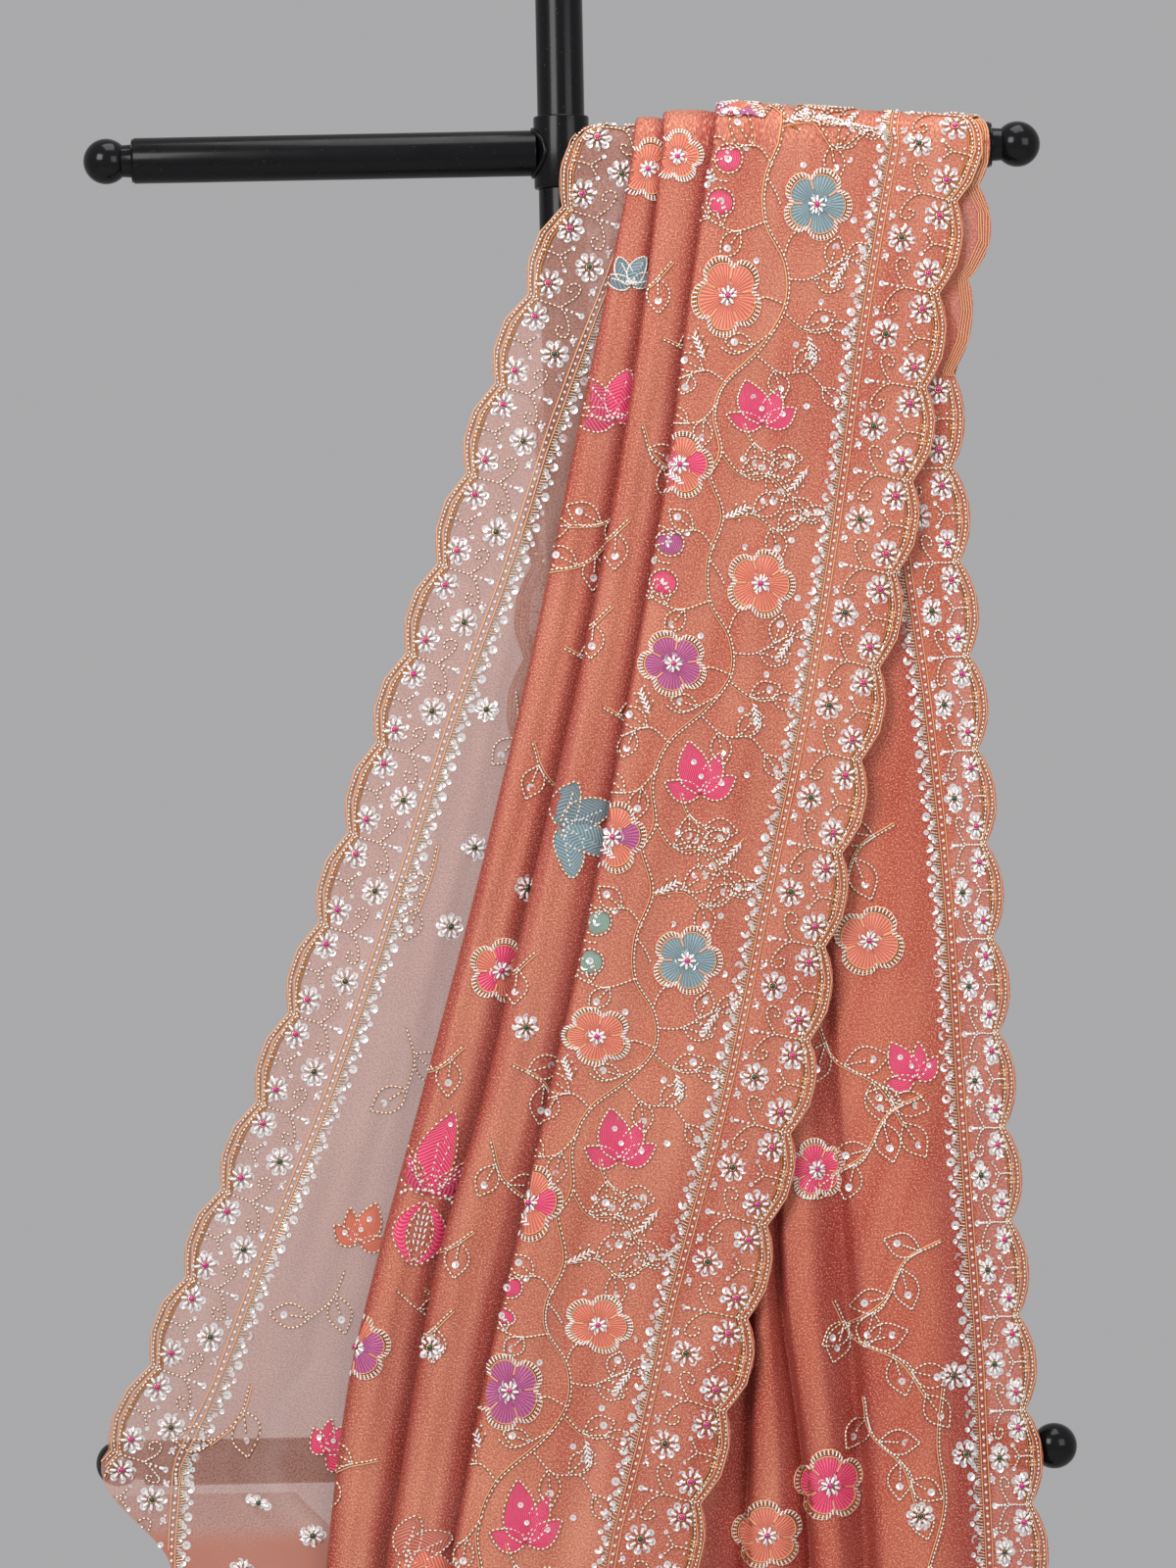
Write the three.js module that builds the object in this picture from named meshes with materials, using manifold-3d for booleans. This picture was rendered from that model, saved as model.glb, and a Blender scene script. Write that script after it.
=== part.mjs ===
// A silk sari, folded into stacked knife pleats and hung over one arm of a painted tube display stand.
// Millimetres. +Z is up, the front faces -Y, and +X is to the right seen from the front. The origin is
// the middle of the stand's base on the floor.
//
// Every stretch of cloth is a thin wall built on a grid of points. A row of the grid is one section across
// the cloth at some drop below the arm, and a column runs down the cloth. Sections come from the tables
// below, which say where each edge and fold of the cloth lies.

import * as THREE from 'three';
import Module from 'manifold-3d';
import { mergeVertices } from 'three/addons/utils/BufferGeometryUtils.js';

const wasm = await Module();
wasm.setup();

const LEFTWARD = -1;
const RIGHTWARD = 1;
const FRONT = -1;
const BACK = 1;

// ---- Driving dimensions: the stand ----

const GAP = 0.3;                    // between pieces that touch
const BASE_RADIUS = 190;
const BASE_THICKNESS = 8;
const BASE_EDGE = 2.5;              // rounding of the base plate's edge
const POST_RADIUS = 12.7;           // a one inch tube
const POST_TOP = 1700;
const ARM_RADIUS = 12.3;
const UPPER_ARM_HEIGHT = 1550;
const LOWER_ARM_HEIGHT = 847;
const UPPER_ARM_END = 231;          // from the post's axis
const LOWER_ARM_END = 237.5;
const COLLAR_RADIUS = 15;
const COLLAR_WALL = 1.9;
const COLLAR_HEIGHT = 39;
const BASE_COLLAR_RADIUS = 19;
const BASE_COLLAR_HEIGHT = 34;
const KNOB_RADIUS = 12.3;
const KNOB_NECK_RADIUS = 9;
const KNOB_REACH = 15;              // from the arm's end to the middle of the ball
const FINIAL_RADIUS = 13.2;
const FINIAL_HEIGHT = 9;
const ROUND_SIDES = 32;
const KNOB_SIDES = 24;
const KNOB_STEPS = 7;              // bands of facets from a knob's neck to its tip

// ---- Driving dimensions: the cloth ----

const CLOTH = 1.0;                  // wall thickness
const CREST = 13;                   // a drop of -CREST is the top of the arm, and 0 is level with its axis
const CREST_STEPS = 4;              // rows round the quarter turn over the arm
const CREST_SPLIT = 0.1;            // the front and back falls part here, at the top of the arm
const SEAM = 0.25;                  // half the gap between a panel and its border
const SCALLOP_PITCH = 50.8;
const SCALLOP_DEPTH = 7.4;
const SCALLOP_STEPS = { [FRONT]: 4, [BACK]: 3 };  // rows in each scallop
const TUCK = 14;                    // how far a roll runs on under the next one
const LAYER = 1.7;                  // from the middle of one layer to the middle of the next
const RETURN_TOP = 722;             // where the sheer layer starts to turn under, just below the lower arm
const HEM_DROP = { sheer: 1338, first: 1344, second: 1350, top: 1356, under: 1347 };

// Where each edge and fold lies across the front fall. Edges are the lines through the scallops' valleys.
const FRONT_ACROSS = table(
  ['drop', 'sheerEdge', 'sheerSeam', 'firstFold', 'secondFold', 'topFold', 'topSeam', 'topEdge',
    'underSeam', 'underEdge'],
  [-13, 17, 53, 41, 55.5, 84.5, 184, 221, 184, 222],
  [0, 9.5, 47, 38, 54, 81, 180, 220, 184, 223],
  [20, 3.5, 41, 35, 51.5, 77, 177, 215, 184, 224],
  [50, -8, 30, 28.5, 47.5, 72, 171, 208, 184, 222.5],
  [100, -29, 9, 17.5, 40, 64, 162, 198, 177, 211],
  [150, -47, -11, 6, 31.5, 57, 154, 191, 174, 206.5],
  [200, -63.5, -27, -5, 22, 48.5, 146, 181.5, 180, 208.5],
  [300, -100, -65, -28.5, 0, 29, 128, 161.5, 193, 216],
  [400, -134, -99, -54.5, -25, 9, 105.5, 139, 201.5, 222.5],
  [500, -170.5, -135, -83, -49.5, -15, 83, 120, 206, 227],
  [600, -213, -177, -112, -79, -39, 55, 94, 211, 232],
  [655, -236, -198.5, -126, -90, -53, 40, 82, 214, 235.5],
  [708, -260, -221.5, -134.5, -99.5, -64, 27, 66, 215.5, 238],
  [757, -224.5, -223.5, -140.5, -108, -73.5, 14, 53, 217, 240],
  [850, -215, -214, -149, -115, -82, 0, 38, 218, 242.5],
  [1000, -207, -206, -159, -122, -89, -13, 25, 219, 246],
  [1175, -202, -201, -166, -128, -95, -21, 17, 221, 250],
  [1360, -200, -199, -171, -132, -99, -27, 11, 223, 254],
);

// The back fall fans out less.
const BACK_ACROSS = table(
  ['drop', 'sheerEdge', 'sheerSeam', 'firstFold', 'secondFold', 'topFold', 'topSeam', 'topEdge', 'underEdge'],
  [-13, 17, 53, 41, 55.5, 84.5, 184, 221, 222],
  [0, 14.5, 51, 40, 54.5, 83, 180, 217, 219],
  [20, 11, 47, 38, 53, 81, 177, 213.5, 216.5],
  [50, 5, 41, 34, 50.5, 78, 171, 207.5, 212],
  [100, -4, 32, 29.5, 47, 75, 165, 201.5, 207],
  [200, -18, 18, 23, 42, 71.5, 159, 195.5, 202],
  [400, -38, -2, 16, 37, 67.5, 153.5, 190, 200],
  [600, -55, -19, 11, 34, 65, 150, 186.5, 202.5],
  [800, -72, -36, 5, 31, 63, 147, 184, 206],
  [1000, -86, -50, 1, 28, 61, 145, 182, 210],
  [1360, -104, -68, -5, 24, 58, 142, 179, 215],
);

// How far the layers stand out from the middle of the arm: the sheer layer in front and at the back, where
// it passes the lower collar, the depth of a rolled pleat, the depth of the top panel's rolled fold, the top
// border's two sides, the under layer, and its deepest waves.
const OUTWARD = table(
  ['drop', 'sheer', 'backSheer', 'roll', 'topRoll', 'topSeam', 'topEdge', 'under', 'wave'],
  [-13, 13.5, 13.5, 3.2, 3.4, 18.2, 15.4, 13.4, 0],
  [0, 15.9, 15.9, 3.4, 3.6, 19.4, 17, 13.8, 0],
  [20, 17.4, 17.4, 3.8, 4, 20.6, 18.4, 14.2, 0],
  [50, 18, 18, 4.6, 4.4, 22, 19.8, 14.8, 0],
  [100, 18.2, 18.2, 5.8, 4.8, 23.6, 21.2, 15.2, 0],
  [150, 18.3, 18.3, 6.6, 5, 25, 22.4, 15.5, 0],
  [200, 18.4, 18.4, 7.2, 5.2, 26, 23.6, 15.8, 0],
  [300, 18.6, 18.6, 8.6, 5.6, 28, 25.6, 16, 1],
  [400, 18.8, 18.8, 10, 6, 30, 27.6, 16, 2.5],
  [500, 18.8, 18.8, 11, 6.4, 32, 30, 16, 5.5],
  [600, 17.6, 18.6, 12, 7, 34, 33, 15.4, 10],
  [655, 16.2, 18.6, 12.5, 7, 35, 34, 14.8, 12],
  [708, 14.5, 18.6, 13, 7.4, 36, 35.5, 14.3, 13.5],
  [757, 16, 18.7, 13.5, 7.6, 37, 36.5, 14.9, 14.5],
  [850, 18.5, 19.2, 15, 8, 39.5, 39, 17, 16],
  [1000, 20, 20, 17, 9, 43.5, 43, 20, 17.5],
  [1175, 21, 21, 19, 10, 47.5, 47, 23, 19],
  [1360, 22, 22, 20, 10, 51, 50, 26, 20],
);

// The under panel hangs in four waves. Each starts at a fold line, and the last ends at the border's seam.
const UNDER_FOLDS = table(
  ['drop', 'inner', 'foldA', 'foldB', 'foldC'],
  [-13, 100, 108, 116, 126],
  [200, 96, 106, 116, 127],
  [400, 82, 97, 108, 130],
  [500, 70, 92, 103, 132],
  [600, 55, 90, 104, 138],
  [708, 32, 86, 115, 144.5],
  [757, 20, 82.5, 118, 147],
  [1000, -6, 80, 121, 152],
  [1360, -20, 78, 124, 157],
);

// Section of a rolled pleat, from its hidden return, round the fold at its left, over its face and down under
// the next roll. Across is in parts of the width that shows, and deep in parts of the roll's depth.
const ROLL_SECTION = table(
  ['across', 'deep'],
  [0.6, 0],
  [0.25, 0],
  [0.05, 0.1],
  [0, 0.45],
  [0.07, 0.82],
  [0.3, 1],
  [0.65, 0.9],
  [1, 0.5],
);
const TUCKED_DEEP = 0.3;            // depth of the hidden end of a roll
const FACE_AT_NEXT_FOLD = 0.5;      // depth of a roll's face where the next roll starts

// The fold of the top panel. Across is in millimetres from the fold.
const TOP_FOLD_SECTION = table(
  ['across', 'deep'],
  [18, 0],
  [6, 0],
  [1.2, 0.1],
  [0, 0.45],
  [2.2, 0.85],
  [10, 1],
);
const TOP_FACE = [0.3, 0.65];       // further columns, in parts of the way from the fold to the seam

// Section of one wave of the under panel, from fold line to fold line.
const WAVE_SECTION = table(
  ['across', 'deep'],
  [0.03, 0],
  [0.12, 0.8],
  [0.5, 1],
);

// The turned-under part of the sheer layer, from the fold's edge to its hidden end behind the lower arm.
const RETURN_SECTION = table(
  ['across', 'out'],
  [0.5, 6],
  [0.5, -6],
  [3, -12.5],
  [14, -15],
  [50, -15.5],
  [95, -15.5],
);

// ---- Materials ----

const paint = new THREE.MeshStandardMaterial({ color: 0x0c0c0d, roughness: 0.3, metalness: 0.1 });
const organza = new THREE.MeshStandardMaterial({ color: 0xc8795f, roughness: 0.5, metalness: 0.25 });
const sheerOrganza = new THREE.MeshStandardMaterial({
  color: 0xcfa293,
  roughness: 0.5,
  metalness: 0.25,
  transparent: true,
  opacity: 0.75,
});
const beadedBorder = new THREE.MeshStandardMaterial({ color: 0xcf9f86, roughness: 0.4, metalness: 0.3 });

// ---- Tables and sections ----

function table(columns, ...rows) {
  return rows.map((row) => Object.fromEntries(columns.map((name, index) => [name, row[index]])));
}

// The row of a table at any drop, worked out between the two rows beside it.
function at(rows, drop) {
  const clamped = THREE.MathUtils.clamp(drop, rows[0].drop, rows.at(-1).drop);
  const next = Math.max(1, rows.findIndex((row) => row.drop >= clamped));
  const [before, after] = [rows[next - 1], rows[next]];
  const share = (clamped - before.drop) / (after.drop - before.drop);
  const names = Object.keys(before);
  return Object.fromEntries(names.map((name) => [name, THREE.MathUtils.lerp(before[name], after[name], share)]));
}

// A point of the cloth at a drop, a place across and a distance out from the arm's axis. Above the axis the
// cloth turns over the arm, and below it the cloth hangs straight down.
function place(drop, across, out, side) {
  if (drop >= 0) return new THREE.Vector3(across, side * out, UPPER_ARM_HEIGHT - drop);
  const turn = (1 + drop / CREST) * Math.PI / 2;
  return new THREE.Vector3(across, side * out * Math.sin(turn), UPPER_ARM_HEIGHT + out * Math.cos(turn));
}

// The drops at which a fall has a row of its grid, from the top of the arm to its hem.
function fallRows(hem, first = -CREST + CREST_SPLIT) {
  const overArm = Array.from({ length: CREST_STEPS }, (_, step) => -CREST * (1 - step / CREST_STEPS));
  const hanging = OUTWARD.map((row) => row.drop).filter((drop) => drop >= 0);
  const rows = [...overArm, ...hanging].filter((drop) => drop > first + 1 && drop < hem - 1);
  return [first, ...rows, hem];
}

function layersAt(drop, side) {
  const layers = at(OUTWARD, drop);
  return side === BACK ? { ...layers, sheer: layers.backSheer } : layers;
}

// How far out the back of each rolled layer lies.
function rears(layers) {
  const first = layers.sheer + LAYER;
  const second = first + FACE_AT_NEXT_FOLD * layers.roll + LAYER;
  const top = second + FACE_AT_NEXT_FOLD * layers.roll + LAYER;
  return { first, second, top };
}

// One section of a rolled pleat between its own fold and the next one.
function rollSection(fold, nextFold, rear, roll) {
  const width = nextFold - fold;
  const shown = ROLL_SECTION.map((point) => [fold + point.across * width, rear + point.deep * roll]);
  return [...shown, [nextFold + TUCK, rear + TUCKED_DEEP * roll]];
}

function topSection(layers, fold, seam) {
  const rear = rears(layers).top;
  const folded = TOP_FOLD_SECTION.map((point) => [fold + point.across, rear + point.deep * layers.topRoll]);
  const [faceStart, faceOut] = folded.at(-1);
  const face = [...TOP_FACE, 1].map((share) => [
    THREE.MathUtils.lerp(faceStart, seam - SEAM, share),
    THREE.MathUtils.lerp(faceOut, layers.topSeam, share),
  ]);
  return [...folded, ...face];
}

function underSection(drop, seam) {
  const layers = at(OUTWARD, drop);
  const folds = at(UNDER_FOLDS, drop);
  const lines = [folds.inner, folds.foldA, folds.foldB, folds.foldC, seam - SEAM];
  const waves = lines.slice(0, -1).flatMap((line, index) => WAVE_SECTION.map((point) => [
    THREE.MathUtils.lerp(line, lines[index + 1], point.across),
    layers.under + point.deep * layers.wave,
  ]));
  return [...waves, [seam - SEAM, layers.under]];
}

// ---- Walls ----

// A closed wall of even thickness on a grid of points.
function wall(points, thickness = CLOTH) {
  const rowCount = points.length;
  const columnCount = points[0].length;
  const positions = [];
  for (const face of [1, -1]) {
    for (let row = 0; row < rowCount; row += 1) {
      for (let column = 0; column < columnCount; column += 1) {
        const offset = gridNormal(points, row, column).multiplyScalar(face * thickness / 2);
        positions.push(...points[row][column].clone().add(offset).toArray());
      }
    }
  }
  const outer = (row, column) => row * columnCount + column;
  const inner = (row, column) => rowCount * columnCount + row * columnCount + column;
  const indices = [];
  const quad = (a, b, c, d) => indices.push(a, b, c, a, c, d);
  for (let row = 0; row < rowCount - 1; row += 1) {
    for (let column = 0; column < columnCount - 1; column += 1) {
      quad(outer(row, column), outer(row + 1, column), outer(row + 1, column + 1), outer(row, column + 1));
      quad(inner(row, column), inner(row, column + 1), inner(row + 1, column + 1), inner(row + 1, column));
    }
    const last = columnCount - 1;
    quad(outer(row, 0), inner(row, 0), inner(row + 1, 0), outer(row + 1, 0));
    quad(outer(row + 1, last), inner(row + 1, last), inner(row, last), outer(row, last));
  }
  for (let column = 0; column < columnCount - 1; column += 1) {
    const last = rowCount - 1;
    quad(outer(0, column + 1), inner(0, column + 1), inner(0, column), outer(0, column));
    quad(outer(last, column), inner(last, column), inner(last, column + 1), outer(last, column + 1));
  }
  const geometry = new THREE.BufferGeometry();
  geometry.setAttribute('position', new THREE.Float32BufferAttribute(positions, 3));
  geometry.setIndex(signedVolume(positions, indices) < 0 ? flipped(indices) : indices);
  geometry.computeVertexNormals();
  return geometry;
}

function gridNormal(points, row, column) {
  const last = { row: points.length - 1, column: points[0].length - 1 };
  const down = points[Math.min(row + 1, last.row)][column].clone()
    .sub(points[Math.max(row - 1, 0)][column]);
  const across = points[row][Math.min(column + 1, last.column)].clone()
    .sub(points[row][Math.max(column - 1, 0)]);
  return down.cross(across).normalize();
}

function signedVolume(positions, indices) {
  const corner = (index) => new THREE.Vector3().fromArray(positions, index * 3);
  let volume = 0;
  for (let index = 0; index < indices.length; index += 3) {
    const [a, b, c] = [0, 1, 2].map((step) => corner(indices[index + step]));
    volume += a.dot(b.cross(c)) / 6;
  }
  return volume;
}

function flipped(indices) {
  const turned = [];
  for (let index = 0; index < indices.length; index += 3) {
    turned.push(indices[index], indices[index + 2], indices[index + 1]);
  }
  return turned;
}

// A stretch of cloth from the top of the arm to its hem. section gives the places across one drop.
function fall(section, rows, side) {
  return wall(rows.map((drop) => section(drop).map(([across, out]) => place(drop, across, out, side))));
}

// Height of a scallop above the line through its valleys: an arc of a circle from valley to valley.
function scallopHeight(part) {
  const half = SCALLOP_PITCH / 2;
  const radius = (half ** 2 + SCALLOP_DEPTH ** 2) / (2 * SCALLOP_DEPTH);
  const fromMiddle = (part - 0.5) * SCALLOP_PITCH;
  return Math.sqrt(radius ** 2 - fromMiddle ** 2) - (radius - SCALLOP_DEPTH);
}

// Rows of a scalloped border: those of the panel beside it, and an even number in each scallop, counted
// along the edge from its first valley.
function scallopRows(edge, rows, side, firstValley) {
  const corners = rows.map((drop) => place(drop, ...edge(drop), side));
  const lengths = [0];
  for (let index = 1; index < corners.length; index += 1) {
    lengths.push(lengths[index - 1] + corners[index].distanceTo(corners[index - 1]));
  }
  const step = SCALLOP_PITCH / SCALLOP_STEPS[side];
  const found = rows.map((drop, index) => ({ drop, length: lengths[index] }));
  for (let length = firstValley % step; length < lengths.at(-1); length += step) {
    const next = Math.max(1, lengths.findIndex((value) => value > length));
    const share = (length - lengths[next - 1]) / (lengths[next] - lengths[next - 1]);
    const nearest = Math.min(length - lengths[next - 1], lengths[next] - length);
    if (nearest > step / 5) found.push({ drop: THREE.MathUtils.lerp(rows[next - 1], rows[next], share), length });
  }
  found.sort((one, other) => one.length - other.length);
  return found.map(({ drop, length }) => {
    const part = THREE.MathUtils.euclideanModulo((length - firstValley) / SCALLOP_PITCH, 1);
    return { drop, height: scallopHeight(part) };
  });
}

// A border between its seam and its scalloped edge. Scallops die out over the arm, where room must be left
// for the post's collar.
function border({ seam, edge, rows, side, firstValley, outward, fadeOverArm = false }) {
  const points = scallopRows(edge, rows, side, firstValley).map(({ drop, height }) => {
    const [edgeAcross, edgeOut] = edge(drop);
    const [seamAcross, seamOut] = seam(drop);
    const fade = fadeOverArm ? THREE.MathUtils.smoothstep(drop, -CREST / 2, 0) : 1;
    const columns = [[edgeAcross + outward * height * fade, edgeOut], [seamAcross + outward * SEAM, seamOut]];
    return columns.map(([across, out]) => place(drop, across, out, side));
  });
  return wall(points);
}

// ---- The cloth ----

const SHEER_VALLEY = 6;             // first valley, counted along the edge from the top of the arm
const TOP_VALLEY = 8;
const UNDER_VALLEY = 45;
const SHEER_UNDER_PLEAT = 24;       // how far the sheer layer runs on under the first pleat
const BORDER_END = 746;             // where the sheer border is wholly turned under
const BORDER_WIDTH = 36;            // from the line through the valleys to the seam

function clothPieces(name, side, acrossTable) {
  const across = (drop) => at(acrossTable, drop);
  const layers = (drop) => layersAt(drop, side);
  const isFront = side === FRONT;
  const startOf = (valley) => (isFront ? valley : SCALLOP_PITCH - valley);
  const pieces = {};

  const sheerHem = HEM_DROP.sheer;
  pieces.sheer_border = [beadedBorder, border({
    edge: (drop) => [across(drop).sheerEdge, layers(drop).sheer],
    seam: (drop) => [across(drop).sheerSeam, layers(drop).sheer],
    rows: fallRows(isFront ? BORDER_END : sheerHem),
    side,
    firstValley: startOf(SHEER_VALLEY),
    outward: LEFTWARD,
    fadeOverArm: true,
  })];
  pieces.sheer_panel = [sheerOrganza, fall((drop) => {
    const { sheerSeam, firstFold } = across(drop);
    const inner = firstFold + SHEER_UNDER_PLEAT;
    return [0, 0.35, 0.7, 1].map((share) => [
      THREE.MathUtils.lerp(sheerSeam + SEAM, inner, share),
      layers(drop).sheer,
    ]);
  }, fallRows(sheerHem), side)];

  pieces.first_pleat = [organza, fall(
    (drop) => rollSection(across(drop).firstFold, across(drop).secondFold, rears(layers(drop)).first, layers(drop).roll),
    fallRows(HEM_DROP.first),
    side,
  )];
  pieces.second_pleat = [organza, fall(
    (drop) => rollSection(across(drop).secondFold, across(drop).topFold, rears(layers(drop)).second, layers(drop).roll),
    fallRows(HEM_DROP.second),
    side,
  )];
  pieces.top_panel = [organza, fall(
    (drop) => topSection(layers(drop), across(drop).topFold, across(drop).topSeam),
    fallRows(HEM_DROP.top),
    side,
  )];
  pieces.top_border = [beadedBorder, border({
    edge: (drop) => [across(drop).topEdge, layers(drop).topEdge],
    seam: (drop) => [across(drop).topSeam, layers(drop).topSeam],
    rows: fallRows(HEM_DROP.top),
    side,
    firstValley: startOf(TOP_VALLEY),
    outward: RIGHTWARD,
  })];
  if (isFront) {
    pieces.under_panel = [organza, fall(
      (drop) => underSection(drop, across(drop).underSeam),
      fallRows(HEM_DROP.under),
      side,
    )];
    pieces.sheer_return = [sheerOrganza, sheerReturn(across, layers)];
  }
  pieces.under_border = [beadedBorder, border({
    edge: (drop) => [across(drop).underEdge, layers(drop).under],
    seam: (drop) => [isFront ? across(drop).underSeam : across(drop).underEdge - BORDER_WIDTH, layers(drop).under],
    rows: fallRows(HEM_DROP.under),
    side,
    firstValley: startOf(UNDER_VALLEY),
    outward: RIGHTWARD,
  })];
  return Object.entries(pieces).map(([piece, [material, geometry]]) => mesh(`${name}_${piece}`, geometry, material));
}

// Below the lower arm the sheer layer folds round to the back of the arm.
function sheerReturn(across, layers) {
  const rows = fallRows(HEM_DROP.sheer, RETURN_TOP).filter((drop) => drop >= RETURN_TOP);
  return wall(rows.map((drop) => {
    const fold = across(drop).sheerEdge;
    const start = [0.6, layers(drop).sheer - CLOTH / 2 - GAP - SEAM / 2];
    const section = [start, ...RETURN_SECTION.map((point) => [point.across, point.out])];
    return section.map(([step, out]) => place(drop, fold + step, out, FRONT));
  }));
}

// ---- The stand ----

function mesh(name, geometry, material) {
  const piece = new THREE.Mesh(geometry, material);
  piece.name = name;
  return piece;
}

// A turned piece from its outline of radius and height, standing on +Z.
function turned(outline, sides = ROUND_SIDES) {
  const points = outline.map(([radius, height]) => new THREE.Vector2(radius, height));
  return new THREE.LatheGeometry(points, sides).rotateX(Math.PI / 2);
}

function rod(radius, bottom, top) {
  return turned([[0, bottom], [radius, bottom], [radius, top], [0, top]]);
}

function ring(inner, outer, bottom, top) {
  return turned([[inner, bottom], [outer, bottom], [outer, top], [inner, top], [inner, bottom]]);
}

function solidOf(geometry) {
  const bare = geometry.clone();
  bare.deleteAttribute('normal');
  bare.deleteAttribute('uv');
  const merged = mergeVertices(bare, 1e-4);
  return new wasm.Manifold(new wasm.Mesh({
    numProp: 3,
    vertProperties: new Float32Array(merged.attributes.position.array),
    triVerts: new Uint32Array(merged.index.array),
  }));
}

function geometryOf(solid) {
  const { vertProperties, triVerts } = solid.getMesh();
  const geometry = new THREE.BufferGeometry();
  geometry.setAttribute('position', new THREE.BufferAttribute(vertProperties, 3));
  geometry.setIndex(new THREE.BufferAttribute(triVerts, 1));
  geometry.computeVertexNormals();
  return geometry;
}

// An arm along X whose inner end is coped to the collar round the post.
function arm(end, height, direction) {
  const tube = rod(ARM_RADIUS, 2, end).rotateY(direction * Math.PI / 2).translate(0, 0, height);
  const bite = rod(COLLAR_RADIUS + GAP, height - COLLAR_HEIGHT, height + COLLAR_HEIGHT);
  return geometryOf(solidOf(tube).subtract(solidOf(bite)));
}

// A ball on a short neck at the end of an arm.
function knob(end, height, direction) {
  const neckAngle = Math.asin(KNOB_NECK_RADIUS / KNOB_RADIUS);
  const ball = Array.from({ length: KNOB_STEPS + 1 }, (_, step) => {
    const angle = THREE.MathUtils.lerp(Math.PI - neckAngle, 0, step / KNOB_STEPS);
    return [KNOB_RADIUS * Math.sin(angle), end + KNOB_REACH + KNOB_RADIUS * Math.cos(angle)];
  });
  ball[KNOB_STEPS][0] = 0;
  const outline = [[0, end + GAP], [KNOB_NECK_RADIUS, end + GAP], ...ball];
  return turned(outline, KNOB_SIDES).rotateY(direction * Math.PI / 2).translate(0, 0, height);
}

function standPieces() {
  const discEdge = BASE_RADIUS - BASE_EDGE;
  const disc = turned([
    [0, 0], [discEdge, 0], [BASE_RADIUS, BASE_EDGE], [BASE_RADIUS, BASE_THICKNESS - BASE_EDGE],
    [discEdge, BASE_THICKNESS], [0, BASE_THICKNESS],
  ]);
  const collarBore = COLLAR_RADIUS - COLLAR_WALL;
  const baseCollarBottom = BASE_THICKNESS + GAP;
  const finialBottom = POST_TOP + GAP;
  const finial = turned([
    [0, finialBottom], [FINIAL_RADIUS, finialBottom], [FINIAL_RADIUS, finialBottom + FINIAL_HEIGHT / 3],
    [FINIAL_RADIUS * 0.8, finialBottom + FINIAL_HEIGHT * 0.75], [FINIAL_RADIUS * 0.4, finialBottom + FINIAL_HEIGHT * 0.96],
    [0, finialBottom + FINIAL_HEIGHT],
  ]);
  const pieces = [
    mesh('base_disc', disc, paint),
    mesh('base_collar', ring(collarBore, BASE_COLLAR_RADIUS, baseCollarBottom, baseCollarBottom + BASE_COLLAR_HEIGHT), paint),
    mesh('post', rod(POST_RADIUS, BASE_THICKNESS + GAP, POST_TOP), paint),
    mesh('post_finial', finial, paint),
  ];
  const levels = [['upper', UPPER_ARM_HEIGHT, UPPER_ARM_END], ['lower', LOWER_ARM_HEIGHT, LOWER_ARM_END]];
  for (const [level, height, end] of levels) {
    const half = COLLAR_HEIGHT / 2;
    pieces.push(mesh(`${level}_collar`, ring(collarBore, COLLAR_RADIUS, height - half, height + half), paint));
    for (const [hand, direction] of [['left', LEFTWARD], ['right', RIGHTWARD]]) {
      pieces.push(mesh(`${level}_${hand}_arm`, arm(end, height, direction), paint));
      pieces.push(mesh(`${level}_${hand}_knob`, knob(end, height, direction), paint));
    }
  }
  return pieces;
}

const group = new THREE.Group();
group.add(
  ...standPieces(),
  ...clothPieces('front', FRONT, FRONT_ACROSS),
  ...clothPieces('back', BACK, BACK_ACROSS),
);

export default group;
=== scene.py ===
"""Looks of a silk sari, folded into stacked knife pleats and hung over one arm of a tube display stand.

Metres in Blender, millimetres in the tables. +Z is up and the front faces -Y. A drop is the distance below
the upper arm's axis, along the cloth. Drops from -13 to 0 turn over the arm, and -13 is its top.
"""
import math

import bpy
import numpy as np
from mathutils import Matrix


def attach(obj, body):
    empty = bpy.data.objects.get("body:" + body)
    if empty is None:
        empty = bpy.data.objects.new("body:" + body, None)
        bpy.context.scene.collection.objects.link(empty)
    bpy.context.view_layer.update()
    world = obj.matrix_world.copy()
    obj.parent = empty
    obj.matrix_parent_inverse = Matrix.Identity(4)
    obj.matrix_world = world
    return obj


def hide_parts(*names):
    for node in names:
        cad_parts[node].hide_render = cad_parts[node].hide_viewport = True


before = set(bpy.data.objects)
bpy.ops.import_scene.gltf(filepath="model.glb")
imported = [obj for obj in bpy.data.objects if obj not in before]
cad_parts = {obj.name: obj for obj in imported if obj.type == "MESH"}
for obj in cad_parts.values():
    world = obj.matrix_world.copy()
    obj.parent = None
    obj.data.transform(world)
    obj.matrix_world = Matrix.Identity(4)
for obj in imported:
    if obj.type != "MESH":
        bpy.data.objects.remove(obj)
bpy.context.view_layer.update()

MM = 0.001
FRONT, BACK = -1, 1
LEFTWARD, RIGHTWARD = -1, 1

# ---- Sizes shared with the solids ----

BASE_RADIUS = 190
BASE_THICKNESS = 8
POST_RADIUS = 12.7
POST_TOP = 1700
ARM_RADIUS = 12.3
UPPER_ARM_HEIGHT = 1550
LOWER_ARM_HEIGHT = 847
UPPER_ARM_END = 231
LOWER_ARM_END = 237.5
COLLAR_RADIUS = 15
COLLAR_HEIGHT = 39
BASE_COLLAR_RADIUS = 19
BASE_COLLAR_HEIGHT = 34
KNOB_RADIUS = 12.3
KNOB_REACH = 15
WELD_RADIUS = 1.3
FINIAL_RADIUS = 13.2
FINIAL_HEIGHT = 9

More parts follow.
